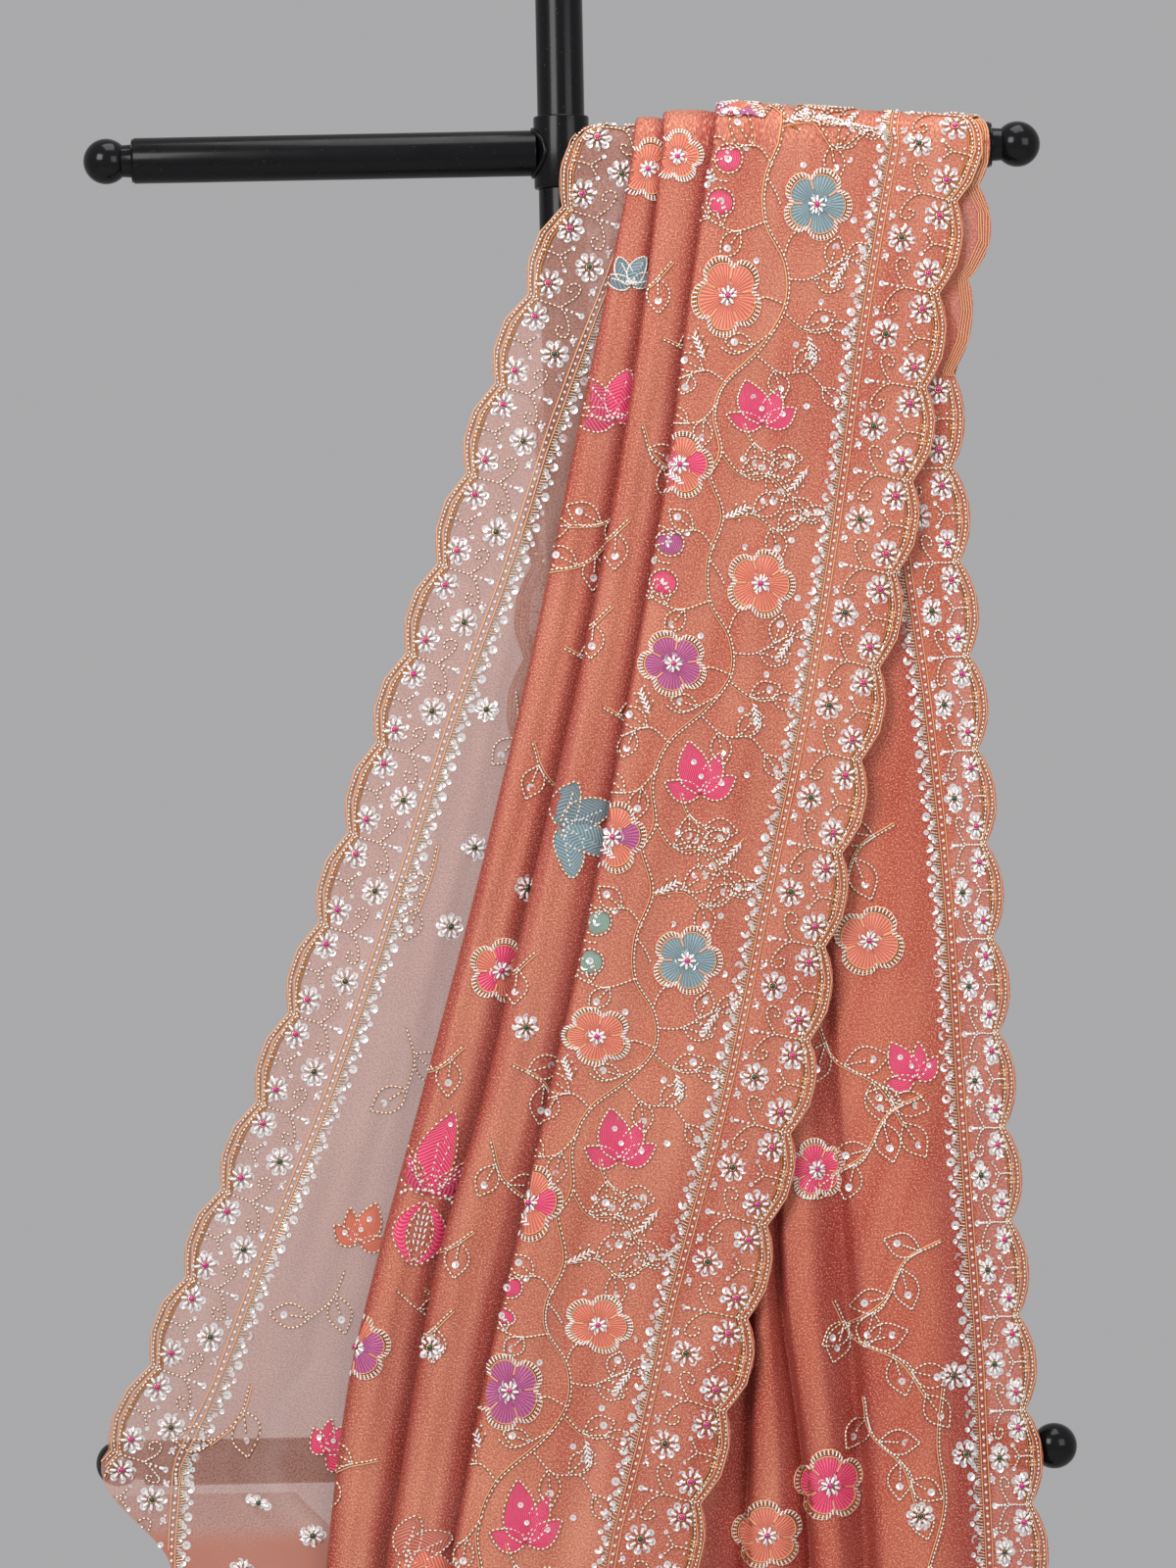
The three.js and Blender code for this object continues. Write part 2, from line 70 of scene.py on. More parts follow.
CREST = 13
LAYER = 1.7                     # between the middles of stacked layers
TUCK = 14                       # a roll's run under the next one
SCALLOP_PITCH = 50.8
SCALLOP_DEPTH = 7.4
SHEER_VALLEY = 6                # first valley along the edge from the top of the arm
TOP_VALLEY = 8
UNDER_VALLEY = 45
SHEER_UNDER_PLEAT = 24
RETURN_TOP = 722                # where the sheer layer turns round behind the lower arm
HEM_DROP = {"sheer": 1338, "first": 1344, "second": 1350, "top": 1356, "under": 1347}
FACE_AT_NEXT_FOLD = 0.5


class Curve:
    """A smooth curve through rows of numbers, which never overshoots a row."""

    def __init__(self, at, values):
        self.at = np.asarray(at, float)
        self.values = np.asarray(values, float)
        step = np.diff(self.at)
        rise = np.diff(self.values) / step
        self.slope = np.zeros(len(self.at))
        self.slope[0], self.slope[-1] = rise[0], rise[-1]
        for i in range(1, len(rise)):
            if rise[i - 1] * rise[i] > 0:
                before = 2 * step[i] + step[i - 1]
                after = step[i] + 2 * step[i - 1]
                self.slope[i] = (before + after) / (before / rise[i - 1] + after / rise[i])

    def __call__(self, at):
        at = np.clip(at, self.at[0], self.at[-1])
        i = np.clip(np.searchsorted(self.at, at, side="right") - 1, 0, len(self.at) - 2)
        step = self.at[i + 1] - self.at[i]
        t = (at - self.at[i]) / step
        return (
            (1 + 2 * t) * (1 - t) ** 2 * self.values[i]
            + t * (1 - t) ** 2 * step * self.slope[i]
            + t * t * (3 - 2 * t) * self.values[i + 1]
            + t * t * (t - 1) * step * self.slope[i + 1]
        )


def curves(names, rows):
    """A curve for each named column of a table, by the drop in its first column."""
    columns = np.array(rows, float).T
    return {name: Curve(columns[0], column) for name, column in zip(names.split(), columns)}


# Where each edge and fold lies across the front fall. Edges are the lines through the scallops' valleys.
FRONT_ACROSS = curves("drop sheerEdge sheerSeam first second top topSeam topEdge underSeam underEdge", [
    [-13, 17, 53, 41, 55.5, 84.5, 184, 221, 184, 222],
    [0, 9.5, 47, 38, 54, 81, 180, 220, 184, 223],
    [20, 3.5, 41, 35, 51.5, 77, 177, 215, 184, 224],
    [50, -8, 30, 28.5, 47.5, 72, 171, 208, 184, 222.5],
    [100, -29, 9, 17.5, 40, 64, 162, 198, 177, 211],
    [150, -47, -11, 6, 31.5, 57, 154, 191, 174, 206.5],
    [200, -63.5, -27, -5, 22, 48.5, 146, 181.5, 180, 208.5],
    [300, -100, -65, -28.5, 0, 29, 128, 161.5, 193, 216],
    [400, -134, -99, -54.5, -25, 9, 105.5, 139, 201.5, 222.5],
    [500, -170.5, -135, -83, -49.5, -15, 83, 120, 206, 227],
    [600, -213, -177, -112, -79, -39, 55, 94, 211, 232],
    [655, -236, -198.5, -126, -90, -53, 40, 82, 214, 235.5],
    [708, -260, -221.5, -134.5, -99.5, -64, 27, 66, 215.5, 238],
    [757, -224.5, -223.5, -140.5, -108, -73.5, 14, 53, 217, 240],
    [850, -215, -214, -149, -115, -82, 0, 38, 218, 242.5],
    [1000, -207, -206, -159, -122, -89, -13, 25, 219, 246],
    [1175, -202, -201, -166, -128, -95, -21, 17, 221, 250],
    [1360, -200, -199, -171, -132, -99, -27, 11, 223, 254],
])

# The back fall fans out less.
BACK_ACROSS = curves("drop sheerEdge sheerSeam first second top topSeam topEdge underSeam underEdge", [
    [-13, 17, 53, 41, 55.5, 84.5, 184, 221, 184, 222],
    [0, 14.5, 51, 40, 54.5, 83, 180, 217, 183, 219],
    [20, 11, 47, 38, 53, 81, 177, 213.5, 180.5, 216.5],
    [50, 5, 41, 34, 50.5, 78, 171, 207.5, 176, 212],
    [100, -4, 32, 29.5, 47, 75, 165, 201.5, 171, 207],
    [200, -18, 18, 23, 42, 71.5, 159, 195.5, 166, 202],
    [400, -38, -2, 16, 37, 67.5, 153.5, 190, 164, 200],
    [600, -55, -19, 11, 34, 65, 150, 186.5, 166.5, 202.5],
    [800, -72, -36, 5, 31, 63, 147, 184, 170, 206],
    [1000, -86, -50, 1, 28, 61, 145, 182, 174, 210],
    [1360, -104, -68, -5, 24, 58, 142, 179, 179, 215],
])

# How far the layers stand out from the middle of the arm, and how deep their rolls and waves are.
OUTWARD = curves("drop sheer backSheer roll topRoll topSeam topEdge under wave", [
    [-13, 13.5, 13.5, 3.2, 3.4, 18.2, 15.4, 13.4, 0],
    [0, 15.9, 15.9, 3.4, 3.6, 19.4, 17, 13.8, 0],
    [20, 17.4, 17.4, 3.8, 4, 20.6, 18.4, 14.2, 0],
    [50, 18, 18, 4.6, 4.4, 22, 19.8, 14.8, 0],
    [100, 18.2, 18.2, 5.8, 4.8, 23.6, 21.2, 15.2, 0],
    [150, 18.3, 18.3, 6.6, 5, 25, 22.4, 15.5, 0],
    [200, 18.4, 18.4, 7.2, 5.2, 26, 23.6, 15.8, 0],
    [300, 18.6, 18.6, 8.6, 5.6, 28, 25.6, 16, 1],
    [400, 18.8, 18.8, 10, 6, 30, 27.6, 16, 2.5],
    [500, 18.8, 18.8, 11, 6.4, 32, 30, 16, 5.5],
    [600, 17.6, 18.6, 12, 7, 34, 33, 15.4, 10],
    [655, 16.2, 18.6, 12.5, 7, 35, 34, 14.8, 12],
    [708, 14.5, 18.6, 13, 7.4, 36, 35.5, 14.3, 13.5],
    [757, 16, 18.7, 13.5, 7.6, 37, 36.5, 14.9, 14.5],
    [850, 18.5, 19.2, 15, 8, 39.5, 39, 17, 16],
    [1000, 20, 20, 17, 9, 43.5, 43, 20, 17.5],
    [1175, 21, 21, 19, 10, 47.5, 47, 23, 19],
    [1360, 22, 22, 20, 10, 51, 50, 26, 20],
])

# The under panel hangs in four waves. Each starts at a fold line, and the last ends at the border's seam.
UNDER_FOLDS = curves("drop inner foldA foldB foldC", [
    [-13, 100, 108, 116, 126],
    [200, 96, 106, 116, 127],
    [400, 82, 97, 108, 130],
    [500, 70, 92, 103, 132],
    [600, 55, 90, 104, 138],
    [708, 32, 86, 115, 144.5],
    [757, 20, 82.5, 118, 147],
    [1000, -6, 80, 121, 152],
    [1360, -20, 78, 124, 157],
])

# The true selvedge of the sheer layer, which turns out of sight behind the lower arm.
SHEER_RUN = Curve(
    [-13, 0, 20, 50, 100, 150, 200, 300, 400, 500, 600, 655, 708, 757, 850, 1360],
    [17, 9.5, 3.5, -8, -29, -47, -63.5, -100, -134, -170.5, -213, -236, -259, -262, -262, -255],
)

ROLL_FACE = Curve([0, 0.025, 0.07, 0.3, 0.65, 1, 1.4], [0.45, 0.68, 0.82, 1, 0.9, 0.5, 0.3])
TOP_FACE = Curve([0, 0.8, 2.2, 10], [0.45, 0.7, 0.85, 1])
WAVE_FACE = Curve([0, 0.03, 0.12, 0.5, 1], [0.06, 0, 0.8, 1, 0.06])


def scallop(along, valley):
    """Height of a scalloped edge above the line through its valleys."""
    half = SCALLOP_PITCH / 2
    radius = (half ** 2 + SCALLOP_DEPTH ** 2) / (2 * SCALLOP_DEPTH)
    from_middle = ((along - valley) / SCALLOP_PITCH % 1 - 0.5) * SCALLOP_PITCH
    return np.sqrt(radius ** 2 - from_middle ** 2) - (radius - SCALLOP_DEPTH)


def smooth(at, low, high):
    """0 up to low, 1 from high, and an even step between them."""
    t = np.clip((at - low) / (high - low), 0, 1)
    return t * t * (3 - 2 * t)


# Soft creases: the part of the way across a cloth, the drop of the middle, how far it reaches
# up and down, how much it leans (parts across in 100 mm), its width and its height in millimetres.
CREASES = {
    ("sheer", FRONT): [
        (0.62, 330, 260, 0.03, 9, 2.6), (0.80, 300, 180, 0.05, 5, 1.8), (0.48, 470, 200, 0.05, 11, 2.8),
        (0.72, 560, 180, -0.04, 8, 2.4), (0.58, 640, 120, 0.08, 7, 2.0), (0.40, 250, 150, 0.05, 8, 1.4),
        (0.84, 455, 130, 0.08, 6, 2.0), (0.66, 150, 90, 0.06, 6, 1.0), (0.52, 780, 90, -0.2, 9, 1.6),
        (0.25, 1000, 300, 0.02, 12, 3.0), (0.6, 1120, 260, -0.02, 12, 3.0), (0.75, 860, 160, 0.05, 8, 2.4),
    ],
    ("first", FRONT): [
        (0.30, 160, 130, 0.06, 3.0, 0.9), (0.55, 330, 170, -0.05, 3.2, -1.1),
        (0.22, 470, 150, 0.05, 3.0, 0.9), (0.62, 600, 140, 0.06, 3.4, -1.2),
        (0.35, 700, 130, -0.05, 3.0, 1.0), (0.50, 900, 200, 0.03, 4.0, -1.4),
        (0.28, 1120, 200, 0.03, 4.0, 1.2),
    ],
    ("second", FRONT): [
        (0.35, 120, 110, -0.05, 2.8, 0.8), (0.60, 250, 140, 0.05, 3.0, -1.0),
        (0.25, 400, 160, 0.05, 3.2, 0.9), (0.58, 540, 150, -0.04, 3.2, -1.1),
        (0.34, 660, 120, 0.05, 3.2, 1.0), (0.55, 840, 200, 0.03, 4.0, -1.3),
        (0.3, 1080, 200, 0.02, 4.0, 1.2),
    ],
    ("top", FRONT): [
        (0.22, 130, 120, 0.02, 7, 0.9), (0.48, 300, 220, 0.02, 10, 1.4), (0.30, 520, 240, -0.02, 9, -1.4),
        (0.60, 600, 260, 0.015, 11, 1.6), (0.80, 380, 160, 0.02, 6, 1.2), (0.86, 640, 130, -0.03, 6, 1.5),
        (0.18, 760, 200, 0.02, 8, 1.2), (0.45, 860, 240, -0.015, 11, -1.8), (0.72, 960, 260, 0.01, 12, 1.8),
        (0.3, 1160, 240, 0.01, 12, 1.6),
    ],
    ("under", FRONT): [
        (0.70, 420, 160, 0.03, 6, 1.4), (0.52, 560, 180, -0.03, 6, -1.6), (0.82, 600, 150, 0.03, 5, 1.2),
        (0.62, 700, 170, 0.03, 6, 1.6), (0.45, 820, 180, -0.02, 7, -1.6), (0.75, 940, 220, 0.02, 8, 1.8),
        (0.9, 480, 120, 0.02, 5, 1.2), (0.9, 760, 160, -0.02, 5, -1.2),
    ],
    ("sheer", BACK): [
        (0.45, 260, 220, 0.03, 9, 2.0), (0.7, 520, 260, -0.02, 9, 2.2), (0.3, 760, 260, 0.02, 11, 2.4),
        (0.6, 1050, 280, 0.02, 12, 2.6),
    ],
    ("first", BACK): [
        (0.4, 240, 200, 0.03, 4, 1.0), (0.6, 620, 240, -0.03, 4, -1.1),
        (0.35, 1040, 240, 0.02, 4, 1.2),
    ],
    ("second", BACK): [
        (0.35, 340, 220, 0.03, 4, 1.0), (0.6, 760, 240, -0.02, 4, -1.1),
        (0.4, 1140, 220, 0.02, 4, 1),
    ],
    ("top", BACK): [
        (0.3, 200, 200, 0.02, 9, 1.2), (0.62, 420, 260, -0.01, 11, 1.6), (0.4, 720, 280, 0.015, 11, -1.6),
        (0.75, 860, 240, 0.01, 9, 1.4), (0.25, 1080, 260, 0.01, 11, 1.6),
    ],
}


class Fall:
    """One side of the hanging cloth: how far out each layer lies, at any place across and any drop."""

    def __init__(self, side, across):
        self.side = side
        self.across = across

    def place(self, x, out, drop):
        """Points in metres."""
        x, out, drop = np.broadcast_arrays(x, out, drop)
        turn = (1 + np.minimum(drop, 0) / CREST) * math.pi / 2
        y = self.side * out * np.sin(turn)
        z = UPPER_ARM_HEIGHT + out * np.cos(turn) - np.maximum(drop, 0)
        return np.stack([x, y, z], axis=-1) * MM

    def creases(self, cloth, x, drop, left, right):
        """How far the creases of a cloth lift it."""
        start, end = self.across[left](drop), self.across[right](drop)
        part, width = (x - start) / (end - start), end - start
        lift = 0 * x
        for middle, at, reach, lean, wide, height in CREASES.get((cloth, self.side), ()):
            from_middle = (part - middle - lean * (drop - at) / 100) * width
            fade = 1 - smooth(np.abs(drop - at), 0.35 * reach, reach)
            lift = lift + height * fade * np.exp(-(from_middle / wide) ** 2)
        return lift * smooth(drop, 10, 60)

    def sheer(self, x, drop):
        flat = OUTWARD["sheer" if self.side == FRONT else "backSheer"](drop) + 0 * x
        free = 1 - smooth(x, self.across["first"](drop) - 12, self.across["first"](drop) - 3)
        return flat + free * self.creases("sheer", x, drop, "sheerEdge", "first")

    def rear(self, layer, drop):
        """How far out the back of a layer lies, on the layers below it."""
        step = FACE_AT_NEXT_FOLD * OUTWARD["roll"](drop) + LAYER
        return self.sheer(0, drop) + LAYER + {"first": 0, "second": 1, "top": 2}[layer] * step

    def roll(self, layer, after, x, drop):
        """How far out the face of a rolled pleat lies, from its fold to the next one."""
        fold = self.across[layer](drop)
        part = (x - fold) / (self.across[after](drop) - fold)
        lift = self.creases(layer, x, drop, layer, after)
        lift = lift * smooth(part, 0.02, 0.2) * (1 - smooth(part, 0.7, 0.9))
        return self.rear(layer, drop) + OUTWARD["roll"](drop) * ROLL_FACE(part) + lift

    def first(self, x, drop):
        return self.roll("first", "second", x, drop)

    def second(self, x, drop):
        return self.roll("second", "top", x, drop)

    def top(self, x, drop):
        """The top layer: a roll at its fold, a flat panel and a border that flutters a little."""
        fold = self.across["top"](drop)
        seam = self.across["topSeam"](drop)
        edge = self.across["topEdge"](drop)
        face = self.rear("top", drop) + OUTWARD["topRoll"](drop) * TOP_FACE(x - fold)
        part = np.clip((x - fold - 10) / (seam - fold - 10), 0, 1)
        at_seam = OUTWARD["topSeam"](drop)
        beyond = np.clip((x - seam) / (edge - seam), 0, 1.2)
        flutter = 1.3 * np.sin(drop / 34) * np.sin(drop / 91 + 1) * beyond * smooth(drop, 20, 120)
        lift = self.creases("top", x, drop, "top", "topEdge") * smooth(x - fold, 4, 16) + flutter
        return face + (at_seam - face) * part + (OUTWARD["topEdge"](drop) - at_seam) * beyond + lift

    def under(self, x, drop):
        """The under panel with its waves, and its border."""
        flat = OUTWARD["under"](drop) + 0 * x
        if self.side == BACK:
            return flat
        lines = [UNDER_FOLDS[name](drop) for name in ("inner", "foldA", "foldB", "foldC")]
        lines.append(self.across["underSeam"](drop))
        out = flat
        for start, end in zip(lines, lines[1:]):
            part = (x - start) / (end - start)
            inside = (part >= 0) & (part < 1)
            out = np.where(inside, flat + OUTWARD["wave"](drop) * WAVE_FACE(part), out)
        free = smooth(x, UNDER_FOLDS["foldB"](drop), UNDER_FOLDS["foldC"](drop))
        return out + free * self.creases("under", x, drop, "top", "underEdge")


front = Fall(FRONT, FRONT_ACROSS)
back = Fall(BACK, BACK_ACROSS)


class Line:
    """A line down the cloth, measured along its length from the top of the arm."""

    def __init__(self, fall, across, out):
        self.drops = np.concatenate([np.linspace(-CREST, 0, 14), np.arange(2, 1361, 2)])
        points = fall.place(across(self.drops), out(across(self.drops), self.drops), self.drops) / MM
        steps = np.linalg.norm(np.diff(points, axis=0), axis=1)
        self.lengths = np.concatenate([[0], np.cumsum(steps)])

    def length_at(self, drop):
        return np.interp(drop, self.drops, self.lengths)

    def drop_at(self, length):
        return np.interp(length, self.lengths, self.drops)


# ---- Cloth shells ----

ROW_STEP = SCALLOP_PITCH / 8


def new_object(name, vertices, faces, material=None):
    mesh = bpy.data.meshes.new(name)
    mesh.from_pydata([tuple(v) for v in np.asarray(vertices)], [], faces)
    mesh.validate()
    mesh.update()
    thing = bpy.data.objects.new(name, mesh)
    bpy.context.scene.collection.objects.link(thing)
    if material:
        mesh.materials.append(material)
    mesh.shade_smooth()
    return thing


def add_values(mesh, name, values):
    mesh.attributes.new(name, "FLOAT", "POINT").data.foreach_set("value", np.ravel(values).astype("f"))


def shell(name, sections, material):
    """A sheet of cloth from the back hem, over the arm, to the front hem.

    sections gives for each side a list of rows, from the top of the arm down. A row is (drop, across, out,
    shade, edge), the last four each a value for every column.
    """
    rows, downs = [], []
    for side in (BACK, FRONT):
        if side not in sections:
            continue
        fall = front if side == FRONT else back
        found = sections[side]
        if side == BACK:
            found = found[:0:-1]
        for drop, across, out, shade, edge in found:
            turn = (1 + min(drop, 0) / CREST) * math.pi / 2
            outward = (0, side * math.sin(turn), math.cos(turn))
            rows.append((fall.place(across, out, drop), outward, shade, edge))
            downs.append(side * -drop)
    count = len(rows[0][0])
    points = np.concatenate([row[0] for row in rows])
    faces = []
    for r in range(len(rows) - 1):
        start = r * count
        for c in range(count - 1):
            a = start + c
            faces.append((a, a + count, a + count + 1, a + 1))
    thing = new_object(name, points, faces, material)
    mesh = thing.data
    grid = points.reshape(len(rows), count, 3)
    normals = np.cross(np.gradient(grid, axis=0), np.gradient(grid, axis=1))
    normals /= np.linalg.norm(normals, axis=2, keepdims=True) + 1e-12
    facing = np.abs(np.einsum("rci,ri->rc", normals, np.array([row[1] for row in rows])))
    # Painted shade and painted shot-silk sheen: the colour turns redder where the cloth turns away from
    # facing straight out, on top of each row's own painted shade in its valleys.
    turned_away = smooth(1 - facing, 0.0, 0.16)
    add_values(mesh, "shade", np.clip(turned_away + np.array([row[2] for row in rows]), 0, 1))
    add_values(mesh, "edge", [row[3] for row in rows])
    layer = mesh.uv_layers.new(name="flat")
    steps = np.linalg.norm(np.diff(grid, axis=1), axis=2)
    u = np.concatenate([np.zeros((len(rows), 1)), np.cumsum(steps, axis=1)], axis=1).ravel()
    v = np.repeat(np.array(downs) * MM, count)
    loops = np.empty(len(mesh.loops), int)
    mesh.loops.foreach_get("vertex_index", loops)
    layer.data.foreach_set("uv", np.stack([u[loops], v[loops]], axis=1).ravel())
    return thing


def drops_down(line, hem, phase=0.0):
    """Row drops at even steps along an edge, so that its scallops' valleys fall on rows."""
    lengths = np.arange(phase % ROW_STEP, line.length_at(hem), ROW_STEP)
    drops = line.drop_at(lengths)
    over_arm = np.linspace(-CREST, 0, 7)
    below = drops[(drops > 1.5) & (drops < hem - 2)]
    return np.concatenate([over_arm, below, [hem]])


def border_columns(edge, seam, bulge, outward, drop, count=6):
    """Places across a border from its scalloped edge to its seam."""
    start = edge(drop) + outward * bulge
    return [start + (seam(drop) - start) * t for t in np.linspace(0, 1, count)]


DOUBLED = 6.0                   # the edge value of sheer cloth that lies double


def sheer_rows(fall):
    """Rows of the sheer layer, from its scalloped edge to under the first pleat."""
    edge, seam, first = (fall.across[name] for name in ("sheerEdge", "sheerSeam", "first"))
    line = Line(fall, edge, fall.sheer)
    valley = SHEER_VALLEY if fall.side == FRONT else SCALLOP_PITCH - SHEER_VALLEY
    rows = []
    for drop in drops_down(line, HEM_DROP["sheer"], valley):
        bulge = scallop(line.length_at(drop), valley) * smooth(drop, -CREST / 2, 0)
        if fall.side == FRONT:
            bulge = bulge * (1 - smooth(drop, 690, 712))
        xs = border_columns(edge, seam, bulge, LEFTWARD, drop)
        inner = first(drop) + SHEER_UNDER_PLEAT
        xs += [seam(drop) + (inner - seam(drop)) * t for t in np.linspace(0, 1, 22)[1:]]
        xs = np.array(xs)
        doubled = DOUBLED * smooth(drop, RETURN_TOP + 8, RETURN_TOP + 26) if fall.side == FRONT else 0
        rows.append((drop, xs, fall.sheer(xs, drop), 0 * xs, (xs < seam(drop)) * 1.0 + doubled))
    return rows


def roll_rows(fall, layer, after, hem):
    """Rows of a rolled pleat, round its fold and over its face to under the next one."""
    fold, following = fall.across[layer], fall.across[after]
    line = Line(fall, fold, lambda x, drop: getattr(fall, layer)(x + 1, drop))
    face = [0.0, 0.02, 0.05, 0.09, 0.15, 0.22, 0.3, 0.4, 0.5, 0.6, 0.7, 0.8, 0.9, 1.0]
    rows = []
    for drop in drops_down(line, hem):
        width = following(drop) - fold(drop)
        depth = OUTWARD["roll"](drop)
        rear = fall.rear(layer, drop)
        xs = [fold(drop) + part * width for part in (0.6, 0.4, 0.25, 0.14, 0.05, 0.012)]
        outs = [rear + part * depth for part in (0, 0, 0.01, 0.04, 0.12, 0.28)]
        front_xs = np.array([fold(drop) + part * width for part in face] + [following(drop) + TUCK])
        xs = np.concatenate([xs, front_xs])
        outs = np.concatenate([outs, getattr(fall, layer)(front_xs, drop)])
        part = np.clip((xs - fold(drop)) / width, 0, 1)
        shade = smooth(part, 0.55, 1.0)
        rows.append((drop, xs, outs, shade, 0 * xs))
    return rows


def top_rows(fall):
    """Rows of the top layer, round its fold and across its panel to its scalloped edge."""
    fold, seam, edge = (fall.across[name] for name in ("top", "topSeam", "topEdge"))
    line = Line(fall, edge, fall.top)
    valley = TOP_VALLEY if fall.side == FRONT else SCALLOP_PITCH - TOP_VALLEY
    rows = []
    for drop in drops_down(line, HEM_DROP["top"], valley):
        bulge = scallop(line.length_at(drop), valley)
        rear = fall.rear("top", drop)
        depth = OUTWARD["topRoll"](drop)
        xs = [fold(drop) + step for step in (18, 12, 6, 2.6, 1.2, 0.3)]
        outs = [rear + part * depth for part in (0, 0, 0, 0.03, 0.1, 0.28)]
        face = [fold(drop) + step for step in (0, 0.8, 2.2, 4, 6.5, 10)]
        face += [fold(drop) + 10 + (seam(drop) - fold(drop) - 10) * t for t in np.linspace(0, 1, 20)[1:]]
        face += border_columns(edge, seam, bulge, RIGHTWARD, drop)[-2::-1]
        face = np.array(face)
        xs = np.concatenate([xs, face])
        outs = np.concatenate([outs, fall.top(face, drop)])
        rows.append((drop, xs, outs, 0 * xs, (xs > seam(drop)) * 1.0))
    return rows


def under_rows(fall):
    """Rows of the under layer, through its waves to its scalloped edge."""
    seam, edge = fall.across["underSeam"], fall.across["underEdge"]
    line = Line(fall, edge, fall.under)
    valley = UNDER_VALLEY if fall.side == FRONT else SCALLOP_PITCH - UNDER_VALLEY
    wave = (0.0, 0.03, 0.06, 0.09, 0.12, 0.18, 0.26, 0.36, 0.5, 0.64, 0.78, 0.9)
    rows = []
    for drop in drops_down(line, HEM_DROP["under"], valley):
        bulge = scallop(line.length_at(drop), valley)
        if fall.side == FRONT:
            lines = [UNDER_FOLDS[name](drop) for name in ("inner", "foldA", "foldB", "foldC")]
            lines.append(seam(drop))
        else:
            lines = [seam(drop) + step for step in (-84, -76, -68, -58, 0)]
        xs = [a + (b - a) * part for a, b in zip(lines, lines[1:]) for part in wave]
        xs += border_columns(edge, seam, bulge, RIGHTWARD, drop)[::-1]
        xs = np.array(xs)
        outs = fall.under(xs, drop)
        depth = (outs - OUTWARD["under"](drop)) / max(OUTWARD["wave"](drop), 1e-6)
        shade = np.where(xs < seam(drop), 1 - np.clip(depth, 0, 1), 0)
        rows.append((drop, xs, outs, shade, (xs > seam(drop)) * 1.0))
    return rows


# The turned-under part of the sheer layer, from the fold's edge to its hidden end behind the lower arm.
RETURN_SECTION = [(0.5, 6), (0.5, 0), (0.5, -6), (1.2, -9.5), (3, -12.5), (8, -14.2), (14, -15), (30, -15.4),
                  (50, -15.5), (72, -15.5), (95, -15.5)]


def return_rows():
    """Rows of the sheer layer's turned-under part, down to its hem."""
    fold = front.across["sheerEdge"]
    rows = []
    for drop in np.arange(RETURN_TOP, HEM_DROP["sheer"] + 1, 8):
        start = front.sheer(0, drop) - 1
        xs = np.array([fold(drop) + 0.6] + [fold(drop) + step for step, _ in RETURN_SECTION])
        outs = np.array([start] + [out for _, out in RETURN_SECTION])
        rows.append((drop, xs, outs, 0 * xs, 0 * xs))
    return rows


# ---- Work sewn on the cloth ----
#
# Work is laid out flat: a runs down the cloth along a line, such as the scallops' valleys, and b runs inward
# from that line. Both are in millimetres. Angles turn from the direction of a towards that of b.

RNG = np.random.default_rng(7)


def path(points, step=0.8):
    """A smooth open line through a few flat points, at even small steps."""
    points = np.asarray(points, float)
    ends = np.concatenate([[2 * points[0] - points[1]], points, [2 * points[-1] - points[-2]]])
    found = []
    for i in range(1, len(ends) - 2):
        before, start, end, after = ends[i - 1:i + 3]
        count = max(2, int(np.linalg.norm(end - start) / step))
        t = np.linspace(0, 1, count, endpoint=False)[:, None]
        found.append(0.5 * (
            2 * start + (end - before) * t + (2 * before - 5 * start + 4 * end - after) * t ** 2
            + (3 * start - before - 3 * end + after) * t ** 3
        ))
    return np.concatenate(found + [points[-1:]])


def spaced(line, pitch, start=0.5):
    """Places and headings at an even pitch along a line."""
    steps = np.diff(line, axis=0)
    lengths = np.concatenate([[0], np.cumsum(np.linalg.norm(steps, axis=1))])
    count = max(1, int(round(lengths[-1] / pitch)))
    at = (np.arange(count) + start) * lengths[-1] / count
    places = np.stack([np.interp(at, lengths, line[:, i]) for i in (0, 1)], axis=1)
    index = np.clip(np.searchsorted(lengths, at) - 1, 0, len(steps) - 1)
    return places, np.arctan2(steps[index, 1], steps[index, 0])


SEED_PITCH = 2.35               # of seed beads along a thread
SEED = {"length": 1.2, "width": 1.05, "lift": 0.8}


